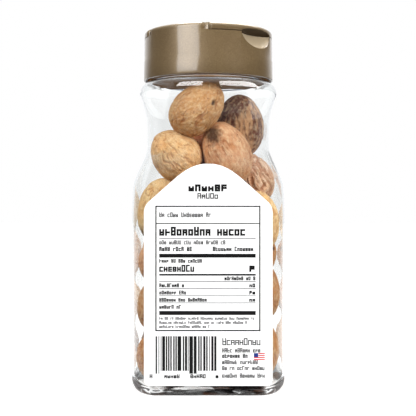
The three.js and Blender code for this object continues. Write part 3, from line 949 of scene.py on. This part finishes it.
def combine(piece, other, operation):
    """Cuts or keeps a piece by another, which is then removed."""
    step = piece.modifiers.new("combine", "BOOLEAN")
    step.operation = operation
    step.object = other
    step.solver = "EXACT"
    bake_modifiers(piece)
    bpy.data.objects.remove(other)


def soften(piece, width):
    """Rounds the moulded edges and keeps the long faces smooth."""
    bevel = piece.modifiers.new("edges", "BEVEL")
    bevel.width = width
    bevel.segments = 2
    bevel.limit_method = "ANGLE"
    bevel.angle_limit = BEVEL_ANGLE
    bevel.harden_normals = False
    bake_modifiers(piece)
    piece.data.shade_smooth()
    piece.data.set_sharp_from_angle(angle=SHARP_ANGLE)


def cut_notches(flap, skirt, turn, material):
    """Notches the rim of the flap and the skirt at both ends of the hinge side."""
    reach = math.sqrt(CAP_RADIUS_HIGH**2 - FLAP_CHORD**2) - NOTCH_DEPTH
    front, back = -FLAP_CHORD - NOTCH_WIDTH / 2, -FLAP_CHORD + NOTCH_WIDTH / 2
    for end in (-1, 1):
        left, right = sorted((end * reach, end * CUT_REACH))
        for piece, low_z in ((flap, SEAM_Z - 1 * MM), (skirt, SEAM_Z)):
            notch = block("notch", (left, front, low_z), (right, back, CUT_TOP_Z), turn, material)
            combine(piece, notch, "DIFFERENCE")


def make_flap(side, turn, skirt, material):
    """One flap, with the room for it cut out of the skirt."""
    flap = lathe(f"cap_flap_{side}", cap_profile(), material)
    room = block("room", (-CUT_REACH, -CUT_REACH, SEAM_Z),
                 (CUT_REACH, -FLAP_CHORD - FLAP_GAP, CUT_TOP_Z), turn, material)
    combine(flap, room, "INTERSECT")
    cut_notches(flap, skirt, turn, material)
    pocket = block("pocket", (-CUT_REACH, -CUT_REACH, SEAM_Z - FLAP_GAP),
                   (CUT_REACH, -FLAP_CHORD, CUT_TOP_Z), turn, material)
    combine(skirt, pocket, "DIFFERENCE")
    for piece in (skirt, flap):
        combine(piece, scoop_ball(turn + SCOOP_SHIFT, material), "DIFFERENCE")
    soften(flap, FLAP_BEVEL)
    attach(flap, "root")
    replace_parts(flap, "cap")
    return flap


def make_cap(material):
    """The skirt and both flaps, returned as a collection that lamps can name."""
    pieces = bpy.data.collections.new("cap_pieces")
    skirt = lathe("cap_skirt", cap_profile(), material)
    for side, turn in (("right", FLAP_TURN), ("left", FLAP_TURN + math.pi)):
        pieces.objects.link(make_flap(side, turn, skirt, material))
    soften(skirt, SKIRT_BEVEL)
    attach(skirt, "root")
    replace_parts(skirt, "cap")
    pieces.objects.link(skirt)
    return pieces


# ---- labels ----


def front_depth(x, z, distance):
    """Depth of the front face at a place, moved out by a distance."""
    half_width, half_depth, corner = grown(body_section(z), distance)
    past = abs(x) - (half_width - corner)
    if past <= 0:
        return -half_depth
    return -(half_depth - corner) - math.sqrt(corner**2 - past**2)


def bezier(start, middle, end, steps):
    """Points on a curve that bends towards its middle point."""
    share = np.linspace(0, 1, steps + 1)[:, None]
    start, middle, end = (np.array(point) for point in (start, middle, end))
    return (1 - share) ** 2 * start + 2 * share * (1 - share) * middle + share**2 * end


def label_outline():
    """Half widths and heights of a label's outline, from its bottom edge up."""
    side = np.array((LABEL_HALF_WIDTH, LABEL_SIDE_Z))
    slope = np.array(LABEL_DOME) - side
    bend_end = side + slope / np.linalg.norm(slope) * LABEL_BEND
    angle = np.linspace(-math.pi / 2, 0, 9)
    corner = np.stack([
        side[0] - LABEL_CORNER + LABEL_CORNER * np.cos(angle),
        LABEL_LOW_Z + LABEL_CORNER + LABEL_CORNER * np.sin(angle),
    ], axis=1)
    bend = bezier((side[0], side[1] - LABEL_BEND), side, bend_end, 8)
    slope = np.linspace(bend_end, LABEL_DOME, 8)[1:-1]
    dome = bezier(LABEL_DOME, (LABEL_DOME[0] / 2, LABEL_TOP_Z), (LABEL_TIP, LABEL_TOP_Z), 12)
    return np.concatenate([corner, bend, slope, dome])


def make_label(name, turn, material):
    """A thin sheet that follows the body's front, turned about the jar's axis."""
    across = np.linspace(-1, 1, LABEL_COLUMNS + 1)
    rotation = np.array(Matrix.Rotation(-turn, 3, "Z"))
    front = LABEL_OFF + LABEL_THICKNESS
    loops = []
    for half_width, z in label_outline():
        face = [(x, front_depth(x, z, front), z) for x in across * half_width]
        back = [(x, front_depth(x, z, LABEL_OFF), z) for x in across[::-1] * half_width]
        loops.append(np.array(face + back) @ rotation)
    label = loft(name, loops, material)
    label.data.set_sharp_from_angle(angle=SHARP_ANGLE)
    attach(label, "root")
    return label


# ---- print ----

RANDOM = np.random.default_rng(PRINT_SEED)


class Print:
    """Flat blocks of one ink that follow the face of the front label."""

    def __init__(self, name, material):
        self.name, self.material = name, material
        self.points, self.faces = [], []

    def block(self, left, right, low, high):
        """A block by its edges in millimetres from the label's middle line and the floor."""
        columns = max(1, math.ceil((right - left) / BLOCK_COLUMN))
        rows = max(1, math.ceil((high - low) / BLOCK_ROW))
        first = len(self.points)
        for layer in (1, 0):
            distance = LABEL_OFF + LABEL_THICKNESS + INK_THICKNESS * layer
            for z in np.linspace(low, high, rows + 1) * MM:
                for x in np.linspace(left, right, columns + 1) * MM:
                    self.points.append((x, front_depth(x, z, distance), z))
        self.add_faces(first, rows, columns)

    def add_faces(self, first, rows, columns):
        """The faces of a block whose points start at first: front, back and rim."""
        def at(layer, row, column):
            return first + (layer * (rows + 1) + row) * (columns + 1) + column

        for row in range(rows):
            for column in range(columns):
                corners = [(row, column), (row, column + 1)]
                corners += [(row + 1, column + 1), (row + 1, column)]
                self.faces.append(tuple(at(0, *corner) for corner in corners))
                self.faces.append(tuple(at(1, *corner) for corner in corners[::-1]))
        rim = [(0, column) for column in range(columns)]
        rim += [(row, columns) for row in range(rows)]
        rim += [(rows, column) for column in range(columns, 0, -1)]
        rim += [(row, 0) for row in range(rows, 0, -1)]
        for one, two in zip(rim, rim[1:] + rim[:1]):
            self.faces.append((at(0, *two), at(0, *one), at(1, *one), at(1, *two)))

    def glyph(self, left, right, low, high, stroke):
        """A plain sign that stands for a letter: one or two posts and some bars."""
        posts = [left, right - stroke] if RANDOM.random() < TWO_POSTS_SHARE else [left]
        for post in posts:
            self.block(post, post + stroke, low, high)
        bars = [share for share in (0, 0.5, 1) if RANDOM.random() < BAR_SHARE] or [0.5]
        end = right - stroke if len(posts) == 2 else right
        for share in bars:
            z = low + (high - low - stroke) * share
            self.block(left + stroke, end, z, z + stroke)

    def words(self, left, right, low, high, pitch, bold=0.3, spaces=None):
        """A line of signs with gaps between words, at the given places or at random."""
        count = max(1, round((right - left) / pitch))
        pitch = (right - left) / count
        next_space = RANDOM.integers(*WORD_LETTERS)
        for i in range(count):
            if (i in spaces) if spaces is not None else i == next_space and i < count - 1:
                next_space += RANDOM.integers(*WORD_LETTERS) + 1
                continue
            top = high if RANDOM.random() < TALL_SHARE else low + (high - low) * LOW_LETTER
            x = left + i * pitch
            self.glyph(x, x + LETTER_FILL * pitch, low, top, bold * pitch)

    def finish(self):
        made = add_object(self.name, self.points, self.faces, self.material)
        made.data.shade_flat()
        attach(made, "root")


def print_frame(dark):
    """The outline of the facts table and the rule under its first line."""
    left, right, low, high = FACTS_LEFT, FACTS_RIGHT, FACTS_LOW, FACTS_HIGH
    inner_left, inner_right = left + FRAME_STROKE, right - FRAME_STROKE
    dark.block(left, right, low, low + FRAME_STROKE)
    dark.block(left, right, high - FRAME_STROKE, high)
    dark.block(left, inner_left, low + FRAME_STROKE, high - FRAME_STROKE)
    dark.block(inner_right, right, low + FRAME_STROKE, high - FRAME_STROKE)
    dark.block(inner_left, inner_right, 63.6, 63.95)


def print_facts(dark, faint):
    """The facts table: its frame, rules, bars and lines of signs, from the top down."""
    left, right, value_left = FACTS_LEFT + 1.45, FACTS_RIGHT - 1.75, 15.1
    print_frame(dark)
    dark.words(left, 1.15, 66.1, 67.9, 1.0)
    dark.words(left, 13.9, 59.3, 62.6, 2.1, LARGE_BOLD, spaces=(9,))
    faint.block(left, right, 58.15, 58.4)
    dark.words(left, 6.4, 56.1, 57.6, 0.9)
    dark.words(left, -5.85, 53.6, 55.25, 1.0, BOLD)
    dark.words(1.65, 16.7, 53.6, 55.25, 1.0, BOLD)
    dark.block(left, right, 51.25, 52.65)
    dark.words(left, -2.2, 49.35, 50.75, 0.9, BOLD)
    dark.words(left, -4.95, 46.0, 48.6, 1.65, LARGE_BOLD, spaces=())
    dark.words(value_left, 17.4, 46.0, 49.1, 2.3, LARGE_BOLD, spaces=())
    dark.block(left, right, 44.6, 45.25)
    dark.words(5.95, right, 42.9, 44.3, 0.9, BOLD)
    for low, end, has_value in FACT_LINES:
        faint.block(left, right, low + 2.05, low + 2.3)
        dark.words(left, end, low, low + 1.45, 0.9, BOLD)
        if has_value:
            dark.words(value_left, right, low, low + 1.4, 1.1, BOLD, spaces=())
    dark.block(left, right, 30.1, 31.6)
    for low, end in FACT_NOTES:
        faint.words(left, end, low, low + 1.05, 0.66)


def print_stripes(dark):
    """A generic rhythm of upright bars of whole modules."""
    x, bar = STRIPES_LEFT, 0
    while x < STRIPES_RIGHT - MODULE:
        wide = RANDOM.choice(BAR_MODULES) * MODULE
        low = LONG_BAR_LOW if bar in LONG_BARS else STRIPES_LOW
        dark.block(x, min(x + wide, STRIPES_RIGHT), low, STRIPES_HIGH)
        x += wide + RANDOM.choice(GAP_MODULES) * MODULE
        bar += 1


def print_side_lines(dark):
    """The lines of signs beside the bars."""
    dark.words(5.2, 19.4, 19.0, 21.6, 1.5, 0.22, spaces=())
    dark.words(5.1, 19.3, 16.3, 17.9, 0.95)
    dark.words(5.1, 14.6, 14.3, 15.9, 1.0, BOLD)
    dark.words(5.1, 18.35, 12.0, 13.5, 0.95)
    dark.words(5.1, 20.8, 9.8, 11.3, 0.95)
    dark.words(5.1, 20.9, 7.0, 8.6, 0.95)


def print_numbers(dark):
    """The plain signs under the bars."""
    for left, right in ((-21.6, -20.4), (-16.2, -10.4), (-6.6, -0.8), (2.7, 3.9)):
        dark.words(left, right, 6.8, 8.3, 1.1, spaces=())


def print_flag(red, blue):
    """Small red stripes and a blue corner."""
    left, right, low, high = 16.8, 20.8, 13.5, 16.1
    stripe = (high - low) / 7
    for i in range(4):
        z = low + 2 * i * stripe
        red.block(left if i < 2 else left + 1.7, right, z, z + stripe)
    blue.block(left, left + 1.6, low + 3 * stripe, high)


def make_print(dark_ink, faint_ink, red_ink, blue_ink):
    """The generic print of the front label, one mesh for each ink."""
    dark = Print("print_dark", dark_ink)
    faint = Print("print_faint", faint_ink)
    red = Print("print_red", red_ink)
    blue = Print("print_blue", blue_ink)
    dark.words(-7.3, 7.15, 75.6, 78.2, 2.4, LARGE_BOLD, spaces=())
    dark.words(-4.0, 3.85, 72.9, 75.0, 1.55, 0.24, spaces=())
    print_facts(dark, faint)
    print_stripes(dark)
    print_side_lines(dark)
    print_flag(red, blue)
    print_numbers(dark)
    for each in (dark, faint, red, blue):
        each.finish()


# ---- nutmegs ----

LOOKS = np.random.default_rng(LOOKS_SEED)
ATTRIBUTE_KINDS = {  # by how many numbers a point has
    1: ("FLOAT", "value"),
    3: ("FLOAT_VECTOR", "vector"),
    4: ("FLOAT_COLOR", "color"),
}


def make_random(seed):
    """The small generator that places the heap."""
    state = seed

    def draw():
        nonlocal state
        state = (state * 1664525 + 1013904223) % 4294967296
        return state / 4294967296

    return draw


def axis_of(lean, dip):
    """The long axis of a nutmeg, from its two angles in degrees."""
    side, front = math.radians(lean), math.radians(dip)
    return np.array((
        math.sin(side) * math.cos(front), -math.sin(front), math.cos(side) * math.cos(front)))


def make_nutmeg(fixed, at, lean, dip, length, width, **looks):
    return dict(at=np.array(at, float), axis=axis_of(lean, dip), length=length, width=width,
                fixed=fixed, looks=looks)


def filling_nutmegs(placed):
    """Rings along the wall, each turned by half a step, clear of the placed ones."""
    draw = make_random(HEAP_SEED)

    def jitter():
        return (2 * draw() - 1) * JITTER

    filling = []
    for layer in range(LAYERS):
        for i in range(RING_COUNT):
            angle = (i + (layer % 2) / 2) / RING_COUNT * 2 * math.pi
            at = (
                RING_HALF[0] * math.cos(angle) + jitter(),
                RING_HALF[1] * math.sin(angle) + jitter(),
                LAYER_LOW_Z + layer * LAYER_STEP + jitter(),
            )
            size = 1 + (2 * draw() - 1) * NUTMEG_SPREAD
            lean, dip = 180 * draw(), 70 * draw() - 35
            nutmeg = make_nutmeg(False, at, lean, dip, NUTMEG_LENGTH * size, NUTMEG_WIDTH * size)
            if all(np.linalg.norm(other["at"] - nutmeg["at"]) > SPACING for other in placed):
                filling.append(nutmeg)
    return filling


def balls_of(nutmeg):
    """The middles of the two balls as which a nutmeg meets others."""
    reach = nutmeg["axis"] * (nutmeg["length"] - nutmeg["width"]) / 2
    return nutmeg["at"] + reach, nutmeg["at"] - reach


def push_apart(one, other):
    """Moves two nutmegs until none of their balls overlap."""
    share = 0 if one["fixed"] else 1 if other["fixed"] else 0.5
    for i, j in ((0, 0), (0, 1), (1, 0), (1, 1)):
        between = balls_of(one)[i] - balls_of(other)[j]
        distance = math.sqrt(between @ between)
        overlap = (one["width"] + other["width"]) / 2 - distance
        if overlap > 0:
            push = between / distance * overlap
            one["at"] += push * share
            other["at"] -= push * (0 if other["fixed"] else 1 - share)


def hold_inside(nutmeg):
    """Moves a nutmeg until its balls clear the wall and the floor."""
    for i in (0, 1):
        ball = balls_of(nutmeg)[i]
        inset = WALL / MM + CLEARANCE + nutmeg["width"] / 2
        half_width, half_depth, corner = (size / MM for size in jar_section(ball[2] * MM))
        bend = max(corner, inset)
        near = np.array((
            min(max(ball[0], bend - half_width), half_width - bend),
            min(max(ball[1], bend - half_depth), half_depth - bend),
            max(ball[2], FLOOR / MM + CLEARANCE + nutmeg["width"] / 2),
        ))
        out = ball[:2] - near[:2]
        reach = math.hypot(*out)
        limit = max(corner - inset, 0)
        if reach > limit:
            out *= limit / reach
        near[:2] += out
        nutmeg["at"] += near - ball


def settle(nutmegs):
    """Lets the loose nutmegs sink and find room, pass by pass."""
    loose = [nutmeg for nutmeg in nutmegs if not nutmeg["fixed"]]
    for _ in range(SETTLE_PASSES):
        for nutmeg in loose:
            nutmeg["at"] = nutmeg["at"] * (DRIFT, DRIFT, 1) - (0, 0, SINK_STEP)
        for i, one in enumerate(nutmegs):
            for other in nutmegs[i + 1:]:
                apart = one["at"] - other["at"]
                if not (one["fixed"] and other["fixed"]) and apart @ apart < NEAR**2:
                    push_apart(one, other)
        for nutmeg in loose:
            hold_inside(nutmeg)


def looks_of(nutmeg):
    """What the relief and the skin read of a nutmeg, drawn where it isn't given."""
    looks = nutmeg["looks"]
    axis = nutmeg["axis"]
    upright = Vector((0, 0, 1)).rotation_difference(Vector(axis))
    twist = Euler((0, 0, LOOKS.uniform(0, 2 * math.pi))).to_quaternion()
    turn = upright @ twist
    x, z = looks.get("scar", (axis[0] * 0.9, axis[2] * 0.9))
    scar = Vector((x, -math.sqrt(max(1 - x * x - z * z, 0)), z))
    wide, long = nutmeg["width"] / 2 * MM, nutmeg["length"] / 2 * MM
    tint = looks.get("tint") or COMMON_TINTS[LOOKS.integers(len(COMMON_TINTS))]
    shade = LOOKS.uniform(*SHADE_RANGE)
    return {
        "turn": turn.to_euler(),
        "size": (wide, wide, long),
        "scar_at": turn.inverted() @ scar,
        "tint": [part * shade for part in linear(TINTS[tint])[:3]] + [1],
        "seed": LOOKS.uniform(0, 20),
        "ridge": looks.get("ridge", LOOKS.uniform(*RIDGE_RANGE)),
        "streak": looks.get("streak", LOOKS.uniform(*STREAK_RANGE)),
        "blotch": looks.get("blotch", COMMON_BLOTCH),
    }


def seed_points(name, nutmegs):
    """A mesh of bare points, one for each nutmeg, that carry its looks."""
    mesh = bpy.data.meshes.new(name)
    mesh.from_pydata([tuple(nutmeg["at"] * MM) for nutmeg in nutmegs], [], [])
    looks = [looks_of(nutmeg) for nutmeg in nutmegs]
    for key in looks[0]:
        rows = np.array([each[key] for each in looks], float)
        kind, field = ATTRIBUTE_KINDS[rows.size // len(rows)]
        attribute = mesh.attributes.new(key, kind, "POINT")
        attribute.data.foreach_set(field, rows.ravel())
    made = bpy.data.objects.new(name, mesh)
    bpy.context.scene.collection.objects.link(made)
    return made


RELIEF = {
    "Taper": EGG_TAPER,
    "Lump": 0.6 * MM,
    "Wrinkle": 0.56 * MM,
    "Vein": 0.28 * MM,
    "Ridge": 0.9 * MM,
    "Scar": 0.6 * MM,
}


class Relief(Nodes):
    """The nodes that grow a wrinkled seed on each point."""

    def __init__(self, tree):
        super().__init__(tree)
        self.given = self.node("NodeGroupInput")

    def take(self, name):
        return Value(self, self.given.outputs[name])

    def named(self, name, kind="FLOAT"):
        inputs = {"Name": name}
        kinds = {"data_type": kind}
        return self.value("GeometryNodeInputNamedAttribute", "Attribute", kinds, inputs)

    def store(self, geometry, name, value, kind="FLOAT"):
        settings = {"data_type": kind, "domain": "POINT"}
        inputs = {"Geometry": geometry, "Name": name, "Value": value}
        return self.value("GeometryNodeStoreNamedAttribute", 0, settings, inputs)

    def move(self, geometry, offset):
        inputs = {"Geometry": geometry, "Offset": offset}
        return self.value("GeometryNodeSetPosition", 0, None, inputs)

    def eggs(self):
        """A smooth egg on each point, turned and scaled as the point says."""
        position = self.value("GeometryNodeInputPosition")
        ball = self.value("GeometryNodeMeshIcoSphere", 0, None,
                          {"Radius": 1.0, "Subdivisions": self.take("Detail")})
        ball = self.store(ball, "local", position, "FLOAT_VECTOR")
        narrowing = self.part(position, 2) * self.take("Taper") * -1
        narrowing = self.value("ShaderNodeCombineXYZ", 0, None, {0: narrowing, 1: narrowing, 2: 0.0})
        egg = self.move(ball, self.stretched(position, narrowing))
        turn = self.named("turn", "FLOAT_VECTOR")
        eggs = self.value("GeometryNodeInstanceOnPoints", 0, None, {
            "Points": self.take("Geometry"),
            "Instance": egg,
            "Rotation": self.value("FunctionNodeEulerToRotation", 0, None, {0: turn}),
            "Scale": self.named("size", "FLOAT_VECTOR"),
        })
        return self.value("GeometryNodeRealizeInstances", 0, None, {0: eggs})

    def line(self, place, scale, seed, width):
        """1 along the winding lines where a noise crosses its middle, 0 beside them."""
        away = abs(self.noise(place, scale, 2.0, seed) - 0.5)
        return 1 - self.smooth(away, 0.0, width)

    def wrinkles(self, eggs):
        """The eggs with lumps, wrinkles, veins, ridges and a scar, and a mask of each."""
        local = self.named("local", "FLOAT_VECTOR")
        seed = self.named("seed") * 3.1
        ridge = self.named("ridge")
        blotch = self.named("blotch")
        sway = self.stretched(self.noise(local, 1.4, 1.0, seed, output=1), (0.6, 0.6, 0.6))
        swayed = self.vector("ADD", local, sway)
        along = self.stretched(swayed, (1.0, 1.0, 0.28))
        creased = self.stretched(swayed, (1.0, 1.0, 0.5))
        lump = self.noise(local, 1.1, 1.0, seed + 5.0) - 0.5
        rough = self.smooth(self.noise(local, 1.3, 1.0, seed + 13.0) + ridge * 0.4, 0.42, 0.62)
        wrinkle = self.noise(creased, 11.0, 3.0, seed + 9.0) - 0.5
        vein = self.line(along, 2.6, seed + 1.0, 0.03) * rough
        fold = self.line(along, 4.2, seed + 2.0, 0.1)
        far = self.vector("DISTANCE", local, self.named("scar_at", "FLOAT_VECTOR"), output="Value")
        ragged = (self.noise(local, 7.0, 3.0, seed + 4.0) - 0.5) * 0.9
        scar = 1 - self.smooth(far / blotch + ragged, 0.3, 1.0)
        height = (
            lump * self.take("Lump") * 2
            + wrinkle * self.take("Wrinkle") * (0.15 + rough)
            - vein * self.take("Vein")
            - fold * ridge * self.take("Ridge")
            - self.maths("MINIMUM", scar, 0.14 / blotch) * self.take("Scar")
        )
        normal = self.value("GeometryNodeInputNormal")
        # masks for painted highlight on crests and painted shade in hollows and grooves
        for name, mask in (
            ("crease", self.largest(vein, fold * ridge)),
            ("hollow", self.smooth(0 - wrinkle, 0.0, 0.16) * (0.25 + 0.75 * rough)),
            ("crest", self.smooth(wrinkle, 0.02, 0.16)),
            ("scar", scar),
            ("away", self.smooth(far, 0.5, 1.5)),
        ):
            eggs = self.store(eggs, name, mask)
        offset = self.value("ShaderNodeVectorMath", 0, {"operation": "SCALE"},
                            {0: normal, "Scale": height})
        return self.move(eggs, offset)


def relief_tree(material):
    """The relief's node tree, with its sizes as named inputs."""
    tree = bpy.data.node_groups.new("nutmeg_relief", "GeometryNodeTree")
    socket = tree.interface.new_socket
    socket("Geometry", in_out="INPUT", socket_type="NodeSocketGeometry")
    socket("Detail", in_out="INPUT", socket_type="NodeSocketInt").default_value = RELIEF_DETAIL
    for name, size in RELIEF.items():
        socket(name, in_out="INPUT", socket_type="NodeSocketFloat").default_value = size
    socket("Geometry", in_out="OUTPUT", socket_type="NodeSocketGeometry")
    relief = Relief(tree)
    seeds = relief.wrinkles(relief.eggs())
    seeds = relief.value("GeometryNodeSetShadeSmooth", 0, None, {0: seeds})
    inputs = {"Geometry": seeds, "Material": material}
    seeds = relief.value("GeometryNodeSetMaterial", 0, None, inputs)
    relief.node("NodeGroupOutput", None, {0: seeds})
    return tree


def make_core(material):
    """A rounded core inside the heap, so that no light shines through it."""
    loops = []
    for z in np.linspace(CORE_LOW_Z, CORE_HIGH_Z, CORE_LOOPS):
        wave = CORE_WAVE * math.sin(z * CORE_WAVE_TURN)
        edge = min(z - CORE_LOW_Z, CORE_HIGH_Z - z, CORE_ROUNDING) / CORE_ROUNDING
        drawn_in = CORE_END_INSET * (1 - math.sqrt(1 - (1 - edge) ** 2))
        loops.append(section_loop(grown(body_section(z), -CORE_INSET - wave - drawn_in), z))
    core = loft("nutmeg_core", loops, material)
    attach(core, "root")
    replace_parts(core, "nutmegs")


def make_nutmegs(material):
    """All nutmegs, from the top of the heap down, in groups of a few to a mesh."""
    placed = [make_nutmeg(True, **nutmeg) for nutmeg in PLACED]
    nutmegs = placed + filling_nutmegs(placed)
    settle(nutmegs)
    nutmegs.sort(key=lambda nutmeg: -nutmeg["at"][2])
    tree = relief_tree(material)
    for group, first in enumerate(range(0, len(nutmegs), GROUP_COUNT), 1):
        piece = seed_points(f"nutmegs_{group}", nutmegs[first:first + GROUP_COUNT])
        relief = piece.modifiers.new("relief", "NODES")
        relief.node_group = tree
        bake_modifiers(piece)
        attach(piece, "root")
        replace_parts(piece, "nutmegs")


# ---- floor, light and camera ----


def hide_from(made, *rays):
    """Keeps an object out of what some kinds of ray meet."""
    for ray in rays:
        setattr(made, f"visible_{ray}", False)


def make_floor(material):
    """A wide floor, which soft rays pass."""
    corners = [(x, y, 0) for x, y in ((-1, -1), (1, -1), (1, 1), (-1, 1))]
    corners = [Vector(corner) * FLOOR_HALF for corner in corners]
    floor = add_object("floor", corners, [(0, 1, 2, 3)], material)
    hide_from(floor, "diffuse")


def make_flag(material):
    """A dark card round the bead, which keeps the glints' lamps off the shoulder."""
    angle = np.radians(np.linspace(*FLAG_ARC, FLAG_STEPS + 1))
    inner, outer = (np.stack([
        radius * np.cos(angle), radius * np.sin(angle), np.full_like(angle, BEAD_Z)], axis=1)
        for radius in (FLAG_INNER, FLAG_OUTER))
    count = FLAG_STEPS + 1
    faces = [(i, i + count, i + count + 1, i + 1) for i in range(FLAG_STEPS)]
    flag = add_object("flag", np.concatenate([inner, outer]), faces, material)
    hide_from(flag, "camera", "diffuse", "transmission", "shadow")


def add_lamp(name, lamp, place, power, only=None):
    """Places a lamp that lights everything, or the pieces of one collection alone."""
    lamp.energy = power
    made = bpy.data.objects.new(name, lamp)
    made.location = place
    if only is not None:
        made.light_linking.receiver_collection = only
    bpy.context.scene.collection.objects.link(made)
    return made


def add_area(name, place, target, size, power, only=None):
    """A rectangular lamp at a place, turned to a target."""
    lamp = bpy.data.lights.new(name, "AREA")
    lamp.shape = "RECTANGLE"
    lamp.size, lamp.size_y = size
    made = add_lamp(name, lamp, place, power, only)
    made.rotation_euler = (Vector(target) - Vector(place)).to_track_quat("-Z", "Y").to_euler()
    return made


def light_room():
    """A white room: bright overhead and behind, dim below and in front."""
    world = bpy.data.worlds.new("studio")
    world.use_nodes = True
    world.node_tree.nodes.clear()
    bpy.context.scene.world = world
    n = Nodes(world.node_tree)
    soft_ray = n.ray_is("Diffuse")
    mirrored = n.reached("Glossy", 1)
    trapped = n.reached("Glossy", 2)
    inside = n.reached("Transmission", 1)
    direction = n.value("ShaderNodeTexCoord", "Generated")
    rise = n.part(direction, 2)
    back = n.smooth(n.part(direction, 1) + 0.35 * inside, 0.45, 0.95)
    above = n.smooth(rise, 0.55, 0.9)
    soft = ROOM_LOW + (ROOM_HIGH - ROOM_LOW) * n.smooth(rise, -0.2, 0.9)
    gloss = ROOM_FRONT + (1 - ROOM_FRONT) * n.largest(back, above)
    gloss = gloss + trapped * (1 - gloss)
    clear = 1 - mirrored + mirrored * gloss
    strength = soft_ray * soft + (1 - soft_ray) * clear
    light = n.value("ShaderNodeBackground", 0, None, {"Color": WHITE, "Strength": strength})
    n.node("ShaderNodeOutputWorld", None, {"Surface": light})


def light_glints(jar):
    """Two lamps seen only as glints in the jar's bead."""
    only_jar = bpy.data.collections.new("only_jar")
    only_jar.objects.link(jar)
    for name, place, width in GLINTS:
        power = GLINT_RADIANCE * math.pi * width * GLINT_HEIGHT
        glint = add_area(name, place, (0, 0, place[2]), (width, GLINT_HEIGHT), power, only_jar)
        hide_from(glint, "camera", "diffuse", "transmission")


def light_bounce(cap_pieces):
    """The warm glow that the nutmegs throw up at the cap's underside."""
    lamp = bpy.data.lights.new("bounce", "POINT")
    lamp.color = BOUNCE_COLOUR
    lamp.shadow_soft_size = BOUNCE_RADIUS
    place = (0, 0, CAP_LOW_Z - 1 * MM)
    hide_from(add_lamp("bounce", lamp, place, BOUNCE_POWER, cap_pieces), "glossy", "transmission")


def light_scene(jar, cap_pieces):
    """All of the light."""
    light_room()
    hide_from(add_area("key", *KEY, KEY_POWER), "glossy", "transmission")
    strip = add_area("strip", *STRIP, STRIP_POWER, cap_pieces)
    strip.data.color = STRIP_COLOUR
    hide_from(strip, "diffuse")
    add_area("top", *TOP, TOP_POWER, cap_pieces)
    hide_from(add_area("fill", *FILL, FILL_POWER), "glossy", "transmission")
    light_glints(jar)
    light_bounce(cap_pieces)


def add_camera():
    """A level camera before the part, as far off as the view asks."""
    data = bpy.data.cameras.new("camera")
    data.sensor_width = SENSOR
    data.lens = FOCAL_PIXELS / FRAME_PIXELS * SENSOR
    data.clip_start = 10 * MM
    camera = bpy.data.objects.new("camera", data)
    camera.location = (CAMERA_X, -CAMERA_DISTANCE, CAMERA_HEIGHT)
    camera.rotation_euler = (math.pi / 2, 0, 0)
    bpy.context.scene.collection.objects.link(camera)
    bpy.context.scene.camera = camera


def set_look():
    """Plain colours, and enough bounces for light to leave the clear walls."""
    scene = bpy.context.scene
    scene.view_settings.view_transform = "Standard"
    scene.view_settings.look = "None"
    scene.cycles.use_denoising = True
    scene.cycles.max_bounces = 16
    scene.cycles.glossy_bounces = 14
    scene.cycles.transmission_bounces = 14
    scene.cycles.transparent_max_bounces = 24
    scene.cycles.caustics_reflective = False
    scene.cycles.caustics_refractive = False


add_camera()
set_look()
make_floor(pale_floor())
make_flag(ink("card_black", INK))
light_scene(make_jar(clear_plastic()), make_cap(bronze_plastic()))
paper = label_paper()
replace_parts(make_label("label_sheet_front", 0, paper), "label_front")
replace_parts(make_label("label_sheet_back", math.pi, paper), "label_back")
make_print(ink("ink_dark", INK), ink("ink_faint", FAINT_INK),
           ink("ink_red", FLAG_RED), ink("ink_blue", FLAG_BLUE))
make_core(core_brown())
make_nutmegs(nutmeg_skin())
